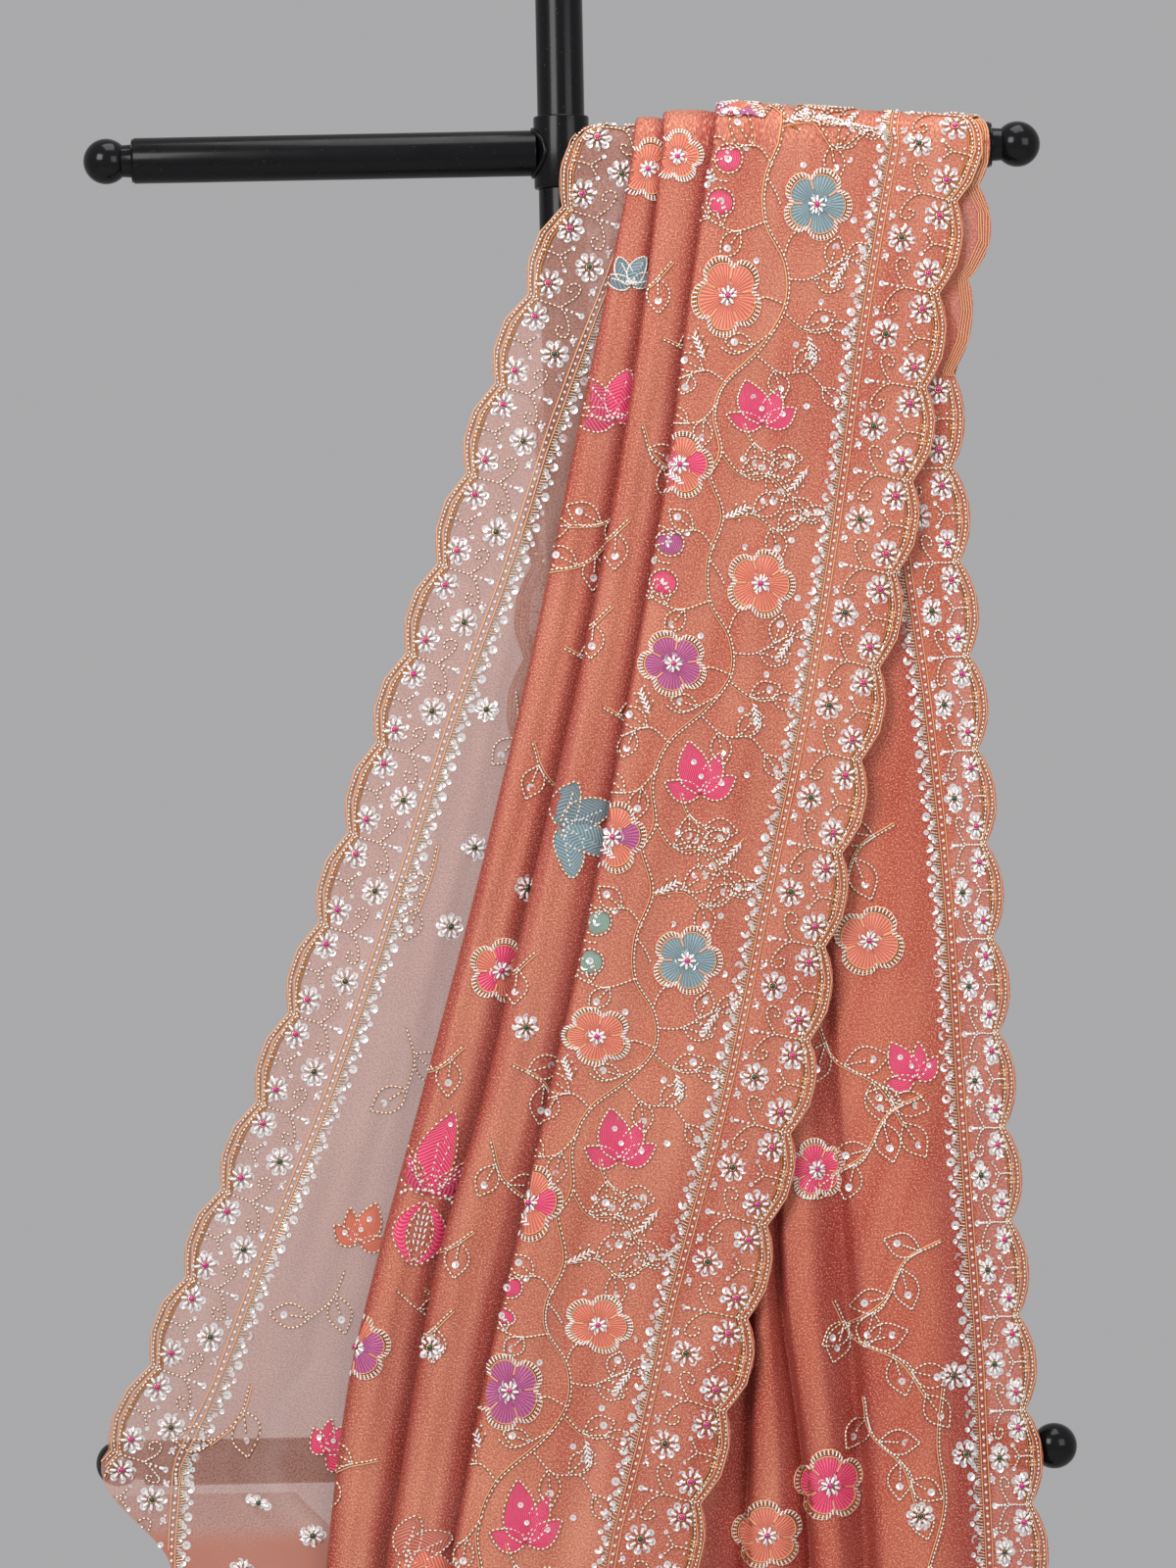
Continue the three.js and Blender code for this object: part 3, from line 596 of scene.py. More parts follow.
class Motif:
    """Flat work round its own middle: beads as rows of (a, b, heading, length, width, height, lift) for each
    kind, threads as lines with their kinds, and petals as grids with a colour."""

    def __init__(self):
        self.beads = {}
        self.threads = []
        self.petals = []

    def bead(self, kind, places, headings=0.0, length=1.9, width=1.1, height=None, lift=0.5):
        places = np.atleast_2d(np.asarray(places, float))
        rest = np.broadcast_arrays(headings, length, width, width if height is None else height, lift,
                                   np.zeros(len(places)))[:-1]
        rows = np.concatenate([places, np.stack(rest, axis=1)], axis=1)
        self.beads[kind] = np.concatenate([self.beads[kind], rows]) if kind in self.beads else rows
        return self

    def thread(self, kind, line):
        self.threads.append((kind, np.asarray(line, float)))
        return self

    def seeds(self, line):
        """Seed beads along a line, over a gold thread."""
        places, headings = spaced(line, SEED_PITCH)
        return self.bead("seed", places, headings, **SEED).thread("gold", line)

    def chain(self, points, cord=False):
        """Seed beads along a smooth line through points, with a cord beside them if wanted."""
        line = path(points)
        self.seeds(line)
        if cord:
            across = np.gradient(line, axis=0)
            across = np.stack([-across[:, 1], across[:, 0]], axis=1)
            across /= np.linalg.norm(across, axis=1)[:, None] + 1e-9
            self.thread("cord", line + 1.25 * across)
        return self

    def sequin(self, places, size=3.9, lift=0.45):
        places = np.atleast_2d(np.asarray(places, float))
        return self.bead("sequin", places, RNG.uniform(0, 6, len(places)), size, size, size, lift)

    def pearl(self, places, size=1.9):
        return self.bead("pearl", places, 0, size, size, size * 0.9, size * 0.45)

    def petal(self, grid, color, lift=0.9, crosswise=False):
        """grid is rows of flat points up the petal. The stitches run up it, or from side to side."""
        self.petals.append((np.asarray(grid, float), color, lift, crosswise))
        return self

    def stone(self, color, size=3.3):
        self.bead(color, [[0, 0]], 0, size, size, size, 1.0)
        return self.bead("rim", [[0, 0]], 0, size * 1.3, size * 1.3, size * 1.3, 1.0)

    def add(self, other, a=0.0, b=0.0, turn=0.0, size=1.0):
        """Another motif's work, scaled, turned and moved."""
        c, s = math.cos(turn), math.sin(turn)
        spin = np.array([[c, s], [-s, c]])

        def moved(points):
            return (points * size) @ spin + (a, b)

        for kind, rows in other.beads.items():
            rows = rows.copy()
            rows[:, :2] = moved(rows[:, :2])
            rows[:, 2] += turn
            old = self.beads.get(kind)
            self.beads[kind] = rows if old is None else np.concatenate([old, rows])
        self.threads += [(kind, moved(line)) for kind, line in other.threads]
        for grid, *rest in other.petals:
            self.petals.append((moved(grid.reshape(-1, 2)).reshape(grid.shape), *rest))
        return self


def bead_flower(stone, petals=8):
    """A ring of tube beads, each on a clear sequin, round a stone in a gold rim."""
    flower = Motif()
    angles = np.arange(petals) * math.tau / petals + 0.2
    spokes = np.stack([np.cos(angles), np.sin(angles)], axis=1)
    flower.sequin(spokes * 6.0, 4.2, 0.35)
    flower.bead("tube", spokes * 4.3, angles, 3.3, 1.85, lift=1.0)
    return flower.stone(stone)


def scallop_motif():
    """All the beadwork of one scallop, from its valley at (0, 0). The seam is at b = 35.3."""
    work = Motif()
    magenta, green = bead_flower("magenta"), bead_flower("green")
    work.add(magenta, 9.6, 8.0).add(magenta, 41.0, 8.0, 0.3).add(green, 25.2, 25.3, 0.6)
    work.chain([(0, 2), (0.4, 9.6), (0, 14.2), (0, 19.4)])
    curl = [(0, 19.4), (2.3, 23.2), (6.8, 26.6), (11, 28.2), (14.2, 27.6), (14.9, 24.6), (13.1, 21.9),
            (10.4, 21.4), (9.4, 23.2), (10.8, 24.6)]
    work.chain(curl)
    work.chain([(-a, b - 2.6 + 2.6 * (b < 20)) for a, b in curl])
    work.sequin([(0, 31.4)], 3.4).bead("tube", [(0, 29.2)], math.pi / 2, 2.6, 1.9, lift=0.9)
    work.pearl([(0, 25.9), (0, 22.9)], 1.8)
    for side in (-1, 1):
        work.sequin([(side * 14.6, 31.9)], 3.2)
        work.pearl([(side * 12.2, 31.0), (side * 12.9, 33.3), (side * 16.9, 33.0)], 1.5)
    work.chain([(25.2, -1.6), (25, 3), (25.2, 8.4)])
    work.chain([(25.2, 8.4), (22.4, 10.6), (20, 12.6)])
    work.chain([(25.2, 8.4), (28, 10.6), (30.4, 12.6)])
    work.sequin([(18.9, 13.6), (31.5, 13.6)], 2.5)
    work.pearl([(22.3, 2.6), (28.1, 2.6), (25.2, 11.6)], 1.5)
    for a in (20.4, 22.2, 28.6, 30.2):
        work.thread("cord", [(a, -3.4), (a, 0.6)])
    return work


def seam_motif():
    """The fringe of bugles and sequins along a third of a scallop's pitch, and its pearls between cords."""
    work = Motif()
    third = SCALLOP_PITCH / 3
    work.sequin([(0, 45.2)], 4.9)
    spots = [(3.6, 42.0), (5.8, 43.5), (8.45, 46.0), (11.1, 43.5), (13.4, 42.0)]
    work.sequin(spots, [3.0, 3.4, 3.0, 3.4, 3.0])
    reach = [4.0, 1.8, 1.6, 2.6, 3.4, 4.2, 2.8, 1.8, 1.4, 2.4]
    for i, length in enumerate(reach):
        a = third * i / len(reach)
        work.bead("bugle", [(a + 0.4, 39.9 + length / 2)], math.pi / 2 + 0.25, length, 0.95, lift=0.55)
    pitch = third / 4
    work.pearl([(pitch * i + 1, 37.3) for i in range(4)], 1.85)
    return work


def border_motif(length, valley):
    """The whole beadwork of a border over a length of its edge."""
    work = Motif()
    one, fringe = scallop_motif(), seam_motif()
    for i in range(-1, int(length / SCALLOP_PITCH) + 2):
        start = valley + i * SCALLOP_PITCH
        work.add(one, start)
        for k in range(3):
            work.add(fringe, start + k * SCALLOP_PITCH / 3)
        arc = np.linspace(0, SCALLOP_PITCH, 22)
        rise = scallop(arc, 0)
        for inset, kind in ((0.5, "cord"), (3.9, "cord"), (6.6, "gold")):
            work.thread(kind, np.stack([start + arc, inset - rise * (1 - inset / 60)], axis=1))
        for inset in (2.2, 5.4):
            work.seeds(np.stack([start + arc, inset - rise * (1 - inset / 60)], axis=1))
    along = np.arange(0, length + 6, 6.0)
    for b in (35.6, 39.1):
        work.thread("cord", np.stack([along, b + 0 * along], axis=1))
    return work


# ---- Flowers and leaves of the field ----

PINK = (0.95, 0.03, 0.155)
ORANGE = (0.86, 0.19, 0.095)
PURPLE = (0.52, 0.06, 0.26)
BLUE = (0.20, 0.34, 0.38)
MINT = (0.26, 0.43, 0.34)


def sector_petal(reach, heading, half_angle, inner=3.2):
    """A broad petal with a round rim, in rows of points from its foot."""
    across = np.linspace(-1, 1, 7)
    rim = reach * (0.76 + 0.24 * np.sqrt(np.clip(1 - across ** 2 * 0.97, 0, 1)))
    grid = []
    for t in np.linspace(0, 1, 5):
        r = inner + (rim - inner) * t
        angle = heading + across * half_angle
        grid.append(np.stack([r * np.cos(angle), r * np.sin(angle)], axis=1))
    return np.array(grid)


def almond_petal(length, half_width, heading, start=(0.0, 0.0), bend=0.0, blunt=0.8):
    """A petal that narrows to both ends, in rows of points from its foot."""
    grid = []
    across = np.linspace(-1, 1, 5)
    for t in np.linspace(0.02, 0.98, 7):
        half = half_width * math.sin(math.pi * t ** 0.8) ** blunt
        x = length * t + 0 * across
        y = across * half + bend * math.sin(math.pi * t)
        grid.append(np.stack([x, y], axis=1))
    grid = np.array(grid)
    c, s = math.cos(heading), math.sin(heading)
    return grid @ np.array([[c, s], [-s, c]]) + start


def outline_of(grid):
    return np.concatenate([grid[:, 0], grid[-1, 1:-1], grid[::-1, -1]])


def open_flower(color, reach=15.5, stone="magenta", petals=5, second=None):
    """A flower of satin-stitched petals, each half edged with a fan of beads inside a cord."""
    flower = Motif()
    half = math.pi / petals * 0.985
    for i in range(petals):
        heading = math.tau * i / petals + math.pi / 2
        grid = sector_petal(reach, heading, half)
        flower.petal(grid, second if second and i % 2 else color)
        outer = grid[-1]
        flower.thread("cord", np.concatenate([grid[2:, 0], outer[1:-1], grid[:1:-1, -1]]))
        direction = outer / np.linalg.norm(outer, axis=1)[:, None]
        bulge = 3.6 * np.sqrt(np.clip(1 - np.linspace(-1.1, 0.9, 7) ** 2 * 0.8, 0, 1))[:, None]
        fan = outer + direction * bulge
        flower.thread("cord", np.concatenate([outer[:1], fan, outer[-1:]]))
        places, _ = spaced(outer + direction * (0.5 + bulge * 0.5), 2.0)
        angles = np.arctan2(places[:, 1], places[:, 0])
        flower.bead("tube", places, angles, 2.9, 1.05, lift=0.7)
        for share in (0.3, 0.65):
            flower.thread("gold", (outer + direction * bulge * share)[1:-1])
    return flower.add(bead_flower(stone), size=0.72)


def outlined(work, grid):
    return work.seeds(outline_of(grid))


# The petals of a bud, from its cup: heading, length, half width and bend.
BUD = ((-1.2, 14, 4.0, -1.6), (1.15, 14.5, 4.2, 1.6), (0.5, 17, 4.0, 1.0), (-0.18, 20, 6.2, -0.8))


def lotus(color, size=1.0):
    """A bud seen from its side, with a broad petal in front, on a small beaded cup."""
    bud = Motif()
    for step, (heading, length, width, bend) in enumerate(BUD):
        grid = almond_petal(length * size, width * size, heading, (0, 0), bend)
        outlined(bud.petal(grid, color, 0.8 + 0.25 * step), grid)
        if step % 2:
            reach = length * 0.6
            bud.sequin([(reach * math.cos(heading) * size, reach * math.sin(heading) * size)], 3.2, 1.9)
    bud.sequin([(6.4 * size, 0.6)], 3.0, 2.0)
    return bud


def lid(length, inner, outer, side):
    """A crescent from tip to tip round one side of an almond bed."""
    rows = []
    for t in np.linspace(0.03, 0.97, 9):
        reach = np.linspace(inner * math.sin(math.pi * t), outer * math.sin(math.pi * t) ** 0.75, 4)
        rows.append([(-length * t, side * y) for y in reach])
    return np.array(rows)


# A darker copy of a colour, for petals that lie under others: painted shade.
def shaded_copy(color):
    return tuple(0.72 * channel for channel in color)


def great_lotus(color, second):
    """A large open lotus: long petals above two lids that wrap round a close bed of beads. Its two side
    petals are darker, in painted shade.
    """
    bloom = Motif()
    petals = (
        (0.62, 24, 4.6, 2.2, shaded_copy(second)),
        (-0.72, 25, 5.0, -2.4, shaded_copy(color)),
        (-0.10, 34, 7.4, 1.6, second),
    )
    for heading, length, width, bend, dye_and_shade in petals:
        grid = almond_petal(length, width, heading, (2, 0), bend)
        outlined(bloom.petal(grid, dye_and_shade, 1.0, True), grid)
        c, s = math.cos(heading), math.sin(heading)
        for part, spread in ((0.62, -0.32), (0.72, 0.0), (0.62, 0.32)):
            a, b = length * part, spread * width
            start = 0.2 * length
            foot = (2 + start * c - 0.4 * b * s, start * s + 0.4 * b * c)
            tip = (2 + a * c - b * s, a * s + b * c)
            bloom.chain([foot, tip])
        bloom.sequin([(2 + length * 0.84 * c, length * 0.84 * s)], 2.6, 1.7)
    for side in (-1, 1):
        grid = lid(26, 4.9, 10.2, side)
        outlined(bloom.petal(grid, color, 1.1, True), grid)
    parts = np.linspace(0.04, 0.96, 8)
    bed = [(-24.0 * t, side * 4.2 * math.sin(math.pi * t)) for side in (-1, 1) for t in parts]
    bloom.bead("seed", bed, np.tile(math.pi, len(bed)), **SEED)
    for i in range(7):
        reach = 3.6 * math.sin(math.pi * (i + 1.2) / 8.4)
        for k in range(-2, 3):
            if abs(k) * 1.9 <= reach:
                bloom.bead("tube", [(-4.0 - i * 2.5, k * 1.9)], math.pi + 0.35 * k, 2.3, 1.3, lift=0.8)
    arc = np.linspace(-1.2, 1.2, 10)
    return bloom.pearl(np.stack([4.6 * np.cos(arc) - 0.6, 10.4 * np.sin(arc)], axis=1), 2.1)


# The petals of a spray: heading, length and half width, the last over the others.
SPRAY = ((1.3, 23, 6.8), (-1.3, 25, 6.8), (0.46, 27, 7.4), (-0.42, 28, 7.6))


def spray(color):
    """Four broad petals that open to one side, one over the next, with beaded edges. Each petal that lies
    under the next is darker, in painted shade.
    """
    work = Motif()
    for step, (heading, length, width) in enumerate(SPRAY):
        grid = almond_petal(length, width, heading, (0, 0), 1.6, 0.55)
        outlined(work.petal(grid, color if step % 2 else shaded_copy(color), 0.8 + 0.2 * step, True), grid)
        c, s = math.cos(heading), math.sin(heading)
        work.chain([(0.3 * length * c, 0.3 * length * s), (0.78 * length * c, 0.78 * length * s)])
    return work.pearl([(2, 4), (1, 1.4), (1, -1.4), (2, -4)], 2.0)


def berry(color, reach=6.6):
    """A round fruit inside a ring of seed beads."""
    fruit = Motif()
    fruit.petal(sector_petal_disc(reach), color)
    ring = np.linspace(0, math.tau, 25)
    fruit.seeds(np.stack([np.cos(ring), np.sin(ring)], axis=1) * (reach + 0.7))
    return fruit.sequin([(0.6, 0.2)], 4.2, 1.2).pearl([(-2.8, 1.6)], 1.7)


def sector_petal_disc(reach):
    rows = []
    for t in np.linspace(-1, 1, 7):
        half = math.sqrt(max(1 - t * t, 0.0)) * reach
        rows.append([(t * reach, across * half) for across in np.linspace(-1, 1, 7)])
    return np.array(rows)


def leaf(length, width):
    """A beaded outline with a vein and a sequin, from its stalk at the middle."""
    work = Motif()
    for side in (-1, 1):
        work.chain([(0, 0), (length * 0.3, side * width * 0.85), (length * 0.62, side * width * 0.9),
                    (length, 0)])
    work.chain([(1, 0), (length * 0.5, 0)])
    return work.sequin([(length * 0.64, 0)], 4.2)


def feather(length=17.0):
    """A sprig with a thick spine of slanting white tubes, and gold barbs that end in small pearls."""
    work = Motif()
    work.thread("cord", [(-3, 0), (length - 3, 0)])
    for i in range(5):
        x = 1.5 + i * (length - 4) / 5
        for side in (-1, 1):
            work.bead("tube", [(x + 0.9 * side, 0.75 * side)], side * 0.7, 3.1, 1.3, lift=0.8)
        side = (-1) ** i
        reach = 5.4 - 0.4 * i
        tip = (x + reach * 0.7, side * reach * 0.8)
        work.thread("gold", [(x, side * 1.2), tip]).pearl([tip], 1.4)
    return work


def twig(points, leaves=(), cord=False):
    """A beaded stem with leaves at parts of its length: (part, side, length)."""
    work = Motif().chain(points, cord)
    line = path(points)
    for part, side, length in leaves:
        i = min(int(part * (len(line) - 1)), len(line) - 2)
        step = line[i + 1] - line[i]
        work.add(leaf(length * 1.3, length * 0.4), *line[i], math.atan2(step[1], step[0]) + side * 0.75)
    return work


# ---- Putting flat work on the cloth ----

BORDER = 35.3                   # from the scallops' valleys to the seam in flat work
LAST_DROP = 1334                # sewn work ends here, just above the hems
THREAD_LIFT = 0.45              # from the cloth's middle to a thread's middle


class Patch:
    """A stretch of cloth, laid out flat from a line down it."""

    def __init__(self, fall, across, out, inward, keep, width=None):
        self.fall, self.across, self.out = fall, across, out
        self.inward, self.keep, self.width = inward, keep, width
        self.line = Line(fall, across, out)
        self.turn_length = self.line.length_at(0.0)

    def unrolled(self, drop):
        return np.where(drop < 0, drop * self.turn_length / CREST, drop)

    def rolled(self, flat):
        return np.where(flat < 0, flat * CREST / self.turn_length, flat)

    def where(self, flat):
        """Places across and drops of flat points."""
        a, b = flat[..., 0], flat[..., 1]
        drop = self.line.drop_at(a)
        before, after = self.line.drop_at(a - 5), self.line.drop_at(a + 5)
        tx = self.across(after) - self.across(before)
        tv = self.unrolled(after) - self.unrolled(before)
        size = np.hypot(tx, tv) + 1e-9
        if self.width is not None:
            wide = np.abs(self.width(drop) - self.across(drop)) * tv / size
            b = np.where(b < 0, b, np.where(b < BORDER, b * wide / BORDER, wide + b - BORDER))
        x = self.across(drop) + self.inward * b * tv / size
        flat_drop = self.unrolled(drop) - self.inward * b * tx / size
        return x, self.rolled(flat_drop), flat_drop

    def point(self, x, flat_drop):
        drop = self.rolled(flat_drop)
        return self.fall.place(x, self.out(x, drop), drop)

    def frames(self, flat, headings):
        """Positions, their frames with X along the heading and Z out of the cloth, and what shows."""
        x, drop, flat_drop = self.where(flat)
        ahead = flat + 0.6 * np.stack([np.cos(headings), np.sin(headings)], axis=-1)
        ahead_x, _, ahead_flat = self.where(ahead)
        here = self.point(x, flat_drop)
        along = self.point(ahead_x, ahead_flat) - here
        right = self.point(x + 0.5, flat_drop) - here
        down = self.point(x, flat_drop + 0.5) - here
        out = np.cross(right, down) * -self.fall.side
        out /= np.linalg.norm(out, axis=-1, keepdims=True) + 1e-12
        out *= np.where(np.sum(out * self.outward(drop), axis=-1, keepdims=True) < 0, -1, 1)
        along -= out * np.sum(along * out, axis=-1, keepdims=True)
        along /= np.linalg.norm(along, axis=-1, keepdims=True) + 1e-12
        return here, np.stack([along, np.cross(out, along), out], axis=-1), self.shows(x, drop, flat_drop)

    def outward(self, drop):
        turn = (1 + np.minimum(drop, 0) / CREST) * math.pi / 2
        return np.stack([0 * drop, self.fall.side * np.sin(turn), np.cos(turn)], axis=-1)

    def shows(self, x, drop, flat_drop):
        return self.keep(x, drop) & (flat_drop > -self.turn_length) & (drop < LAST_DROP)


class Work:
    """All the beads, threads and petals sewn on one cloth, placed in space."""

    def __init__(self):
        self.beads, self.threads, self.petals = {}, {}, []

    def sew(self, patch, motif):
        for kind, rows in motif.beads.items():
            here, frames, shows = patch.frames(rows[:, :2], rows[:, 2])
            here = here + frames[..., 2] * rows[:, 6:7] * MM
            found = (here[shows], frames[shows], rows[shows, 3:6] * MM)
            self.beads.setdefault(kind, []).append(found)
        for kind, line in motif.threads:
            here, frames, shows = patch.frames(line, np.zeros(len(line)))
            here = here + frames[..., 2] * (THREAD_LIFT * MM)
            start = 0
            while start < len(shows):
                if not shows[start]:
                    start += 1
                    continue
                end = start
                while end < len(shows) and shows[end]:
                    end += 1
                if end - start > 1:
                    self.threads.setdefault(kind, []).append(here[start:end])
                start = end
        for grid, color, lift, crosswise in motif.petals:
            rows, columns = grid.shape[:2]
            u = np.linspace(0, 1, rows)[:, None] + np.zeros(columns)
            v = np.linspace(0, 1, columns) + np.zeros((rows, 1))
            round_across = np.sin(math.pi * np.clip(v, 0.02, 0.98))
            round_up = np.sin(math.pi * (0.12 + 0.8 * u))
            rise = lift * (0.35 + 0.65 * round_across * round_up)
            here, frames, shows = patch.frames(grid, np.zeros(grid.shape[:2]))
            here = here + frames[..., 2] * rise[..., None] * MM
            width = np.linalg.norm(grid[rows // 2, -1] - grid[rows // 2, 0])
            length = np.linalg.norm(grid[-1, columns // 2] - grid[0, columns // 2])
            across = 0.44 * u * length + 0.38 * np.abs(v - 0.5) * width if crosswise else v * width
            self.petals.append((here, shows, color, u, across))
        return self


def thinned(line, angle=0.23, reach=7):
    """The points of a line that its bends need."""
    keep = [0]
    for i in range(1, len(line) - 1):
        first = line[i] - line[keep[-1]]
        second = line[i + 1] - line[i]
        size = np.linalg.norm(first) * np.linalg.norm(second)
        bend = np.linalg.norm(np.cross(first, second)) / (size + 1e-18)
        if bend > angle or i - keep[-1] >= reach:
            keep.append(i)
    return line[keep + [len(line) - 1]]


# ---- Node building ----


class Builder:
    """Adds nodes to a tree. Inputs are sockets, values, or left alone."""

    def __init__(self, tree):
        self.tree = tree

    def add(self, kind, inputs=None, **settings):
        node = self.tree.nodes.new(kind)
        for name, value in settings.items():
            setattr(node, name, value)
        for name, value in (inputs or {}).items():
            socket = node.inputs[name]
            value = getattr(value, "socket", value)
            if isinstance(value, bpy.types.NodeSocket):
                self.tree.links.new(value, socket)
            else:
                socket.default_value = value
        return node


class Value:
    """A shader value that can be reckoned with."""

    def __init__(self, builder, socket):
        self.builder, self.socket = builder, socket

    def math(self, operation, *others, clamp=False):
        inputs = dict(enumerate([self, *others]))
        node = self.builder.add("ShaderNodeMath", inputs, operation=operation, use_clamp=clamp)
        return Value(self.builder, node.outputs[0])

    def __add__(self, other):
        return self.math("ADD", other)

    def __sub__(self, other):
        return self.math("SUBTRACT", other)

    def __mul__(self, other):
        return self.math("MULTIPLY", other)

    def __radd__(self, other):
        return self + other

    def __rmul__(self, other):
        return self * other

    def __rsub__(self, other):
        return (self * -1.0) + other

    def clamp(self):
        return self.math("ADD", 0.0, clamp=True)

    def span(self, low, high, to_low=0.0, to_high=1.0):
        node = self.builder.add("ShaderNodeMapRange", {
            "Value": self, "From Min": low, "From Max": high, "To Min": to_low, "To Max": to_high,
        })
        return Value(self.builder, node.outputs["Result"])


def started_tree(name, **inputs):
    """The builder of a new geometry tree and the sockets of its named inputs."""
    tree = bpy.data.node_groups.new(name, "GeometryNodeTree")
    for label, kind in {"Geometry": "Geometry", **inputs, "Material": "Material"}.items():
        tree.interface.new_socket(label, in_out="INPUT", socket_type="NodeSocket" + kind)
    tree.interface.new_socket("Geometry", in_out="OUTPUT", socket_type="NodeSocketGeometry")
    build = Builder(tree)
    return build, build.add("NodeGroupInput").outputs


def ended_tree(build, start, geometry):
    """The tree, with what it made real and in the material that it is given."""
    real = build.add("GeometryNodeRealizeInstances", {"Geometry": geometry})
    done = build.add("GeometryNodeSetMaterial", {
        "Geometry": real.outputs["Geometry"], "Material": start["Material"],
    })
    build.add("NodeGroupOutput", {"Geometry": done.outputs["Geometry"]})
    return build.tree


def instancer():
    """A geometry tree that puts a shape on every point, by the points' own turn and size."""
    build, start = started_tree("sewn_on", Shape="Object")
    shape = build.add("GeometryNodeObjectInfo", {"Object": start["Shape"]})
    turn = build.add("GeometryNodeInputNamedAttribute", {"Name": "turn"}, data_type="FLOAT_VECTOR")
    size = build.add("GeometryNodeInputNamedAttribute", {"Name": "size"}, data_type="FLOAT_VECTOR")
    rotation = build.add("FunctionNodeEulerToRotation", {"Euler": turn.outputs["Attribute"]})
    placed = build.add("GeometryNodeInstanceOnPoints", {
        "Points": start["Geometry"], "Instance": shape.outputs["Geometry"],
        "Rotation": rotation.outputs["Rotation"], "Scale": size.outputs["Attribute"],
    })
    return ended_tree(build, start, placed.outputs["Instances"])


def threader():
    """A geometry tree that makes a round thread along every line of a mesh."""
    build, start = started_tree("thread", Radius="Float", Sides="Int")
    line = build.add("GeometryNodeMeshToCurve", {"Mesh": start["Geometry"]})
    circle = build.add("GeometryNodeCurvePrimitiveCircle", {
        "Resolution": start["Sides"], "Radius": start["Radius"],
    })
    tube = build.add("GeometryNodeCurveToMesh", {
        "Curve": line.outputs["Curve"], "Profile Curve": circle.outputs["Curve"],
    })
    return ended_tree(build, start, tube.outputs["Mesh"])


def worked_out(thing, tree, name, **inputs):
    """The plain mesh that a geometry tree makes of an object."""
    modifier = thing.modifiers.new("work", "NODES")
    modifier.node_group = tree
    for item in tree.interface.items_tree:
        if item.item_type == "SOCKET" and item.in_out == "INPUT" and item.name in inputs:
            modifier[item.identifier] = inputs[item.name]
    ready = thing.evaluated_get(bpy.context.evaluated_depsgraph_get())
    mesh = bpy.data.meshes.new_from_object(ready)
    mesh.name = name
    mesh.shade_smooth()
    made = bpy.data.objects.new(name, mesh)
    bpy.context.scene.collection.objects.link(made)
    bpy.data.objects.remove(thing)
    return made


# ---- Shapes of the beads, one unit across ----


def ring_faces(count, sides):
    """The faces between rings of points that follow one another."""
    faces = []
    for r in range(count - 1):
        for i in range(sides):
            a, b = r * sides + i, r * sides + (i + 1) % sides
            faces.append((a, b, b + sides, a + sides))
    return faces


def rings_shape(name, rings, sides, axis_x=False, cap_end=False):
    """A shape of revolution from (radius, height) rings, open at its ends unless its far end is capped."""
    points, faces = [], ring_faces(len(rings), sides)
    for radius, height in rings:
        for i in range(sides):
            angle = math.tau * i / sides
            flat = (radius * math.cos(angle), radius * math.sin(angle))
            points.append((height, *flat) if axis_x else (*flat, height))
    if cap_end:
        faces.append(tuple(range((len(rings) - 1) * sides, len(rings) * sides)))
    thing = new_object(name, points, faces)
    thing.hide_render = True
    return thing


def torus_shape(name, sides, thick):
    """A thin ring whose section has three sides."""
    points, faces = [], []
    for i in range(sides):
        angle = math.tau * i / sides
        for k in range(3):
            turn = math.tau * (k / 3 - 0.15)
            r = 0.5 - thick + thick * math.cos(turn)
            points.append((r * math.cos(angle), r * math.sin(angle), thick * 1.6 * (math.sin(turn) + 0.5)))
            a, b = i * 3 + k, i * 3 + (k + 1) % 3
            faces.append((a, (a + 3) % (3 * sides), (b + 3) % (3 * sides), b))
    thing = new_object(name, points, faces)
    thing.hide_render = True
    return thing


def turns_of(frames):
    """Euler angles of frames whose columns are their axes."""
    flat = np.hypot(frames[:, 0, 0], frames[:, 1, 0])
    return np.stack([
        np.arctan2(frames[:, 2, 1], frames[:, 2, 2]),
        np.arctan2(-frames[:, 2, 0], flat),
        np.arctan2(frames[:, 1, 0], frames[:, 0, 0]),
    ], axis=1)


def sewn_beads(name, tree, shape, found, material):
    """All beads of one kind on a cloth, each a little out of true."""
    here = np.concatenate([each[0] for each in found])
    frames = np.concatenate([each[1] for each in found])
    sizes = np.concatenate([each[2] for each in found])
    if not len(here):
        return None
    loose = 0.2 if name.endswith("sequin") else 0.06
    tilt = RNG.normal(0, loose, (len(here), 3))
    points = new_object(name + "_places", here, [])
    for label, values in (("turn", turns_of(frames) + tilt), ("size", sizes)):
        data = points.data.attributes.new(label, "FLOAT_VECTOR", "POINT").data
        data.foreach_set("vector", values.astype("f").ravel())
    return worked_out(points, tree, name, Shape=shape, Material=material)


def sewn_threads(name, tree, lines, radius, sides, material):
    """All threads of one kind on a cloth."""
    lines = [thinned(line) for line in lines]
    points = np.concatenate(lines)
    edges, start = [], 0
    for line in lines:
        edges += [(i, i + 1) for i in range(start, start + len(line) - 1)]
        start += len(line)
    mesh = bpy.data.meshes.new(name)
    mesh.from_pydata([tuple(p) for p in points], edges, [])
    thing = bpy.data.objects.new(name + "_lines", mesh)
    bpy.context.scene.collection.objects.link(thing)
    return worked_out(thing, tree, name, Radius=radius, Sides=sides, Material=material)


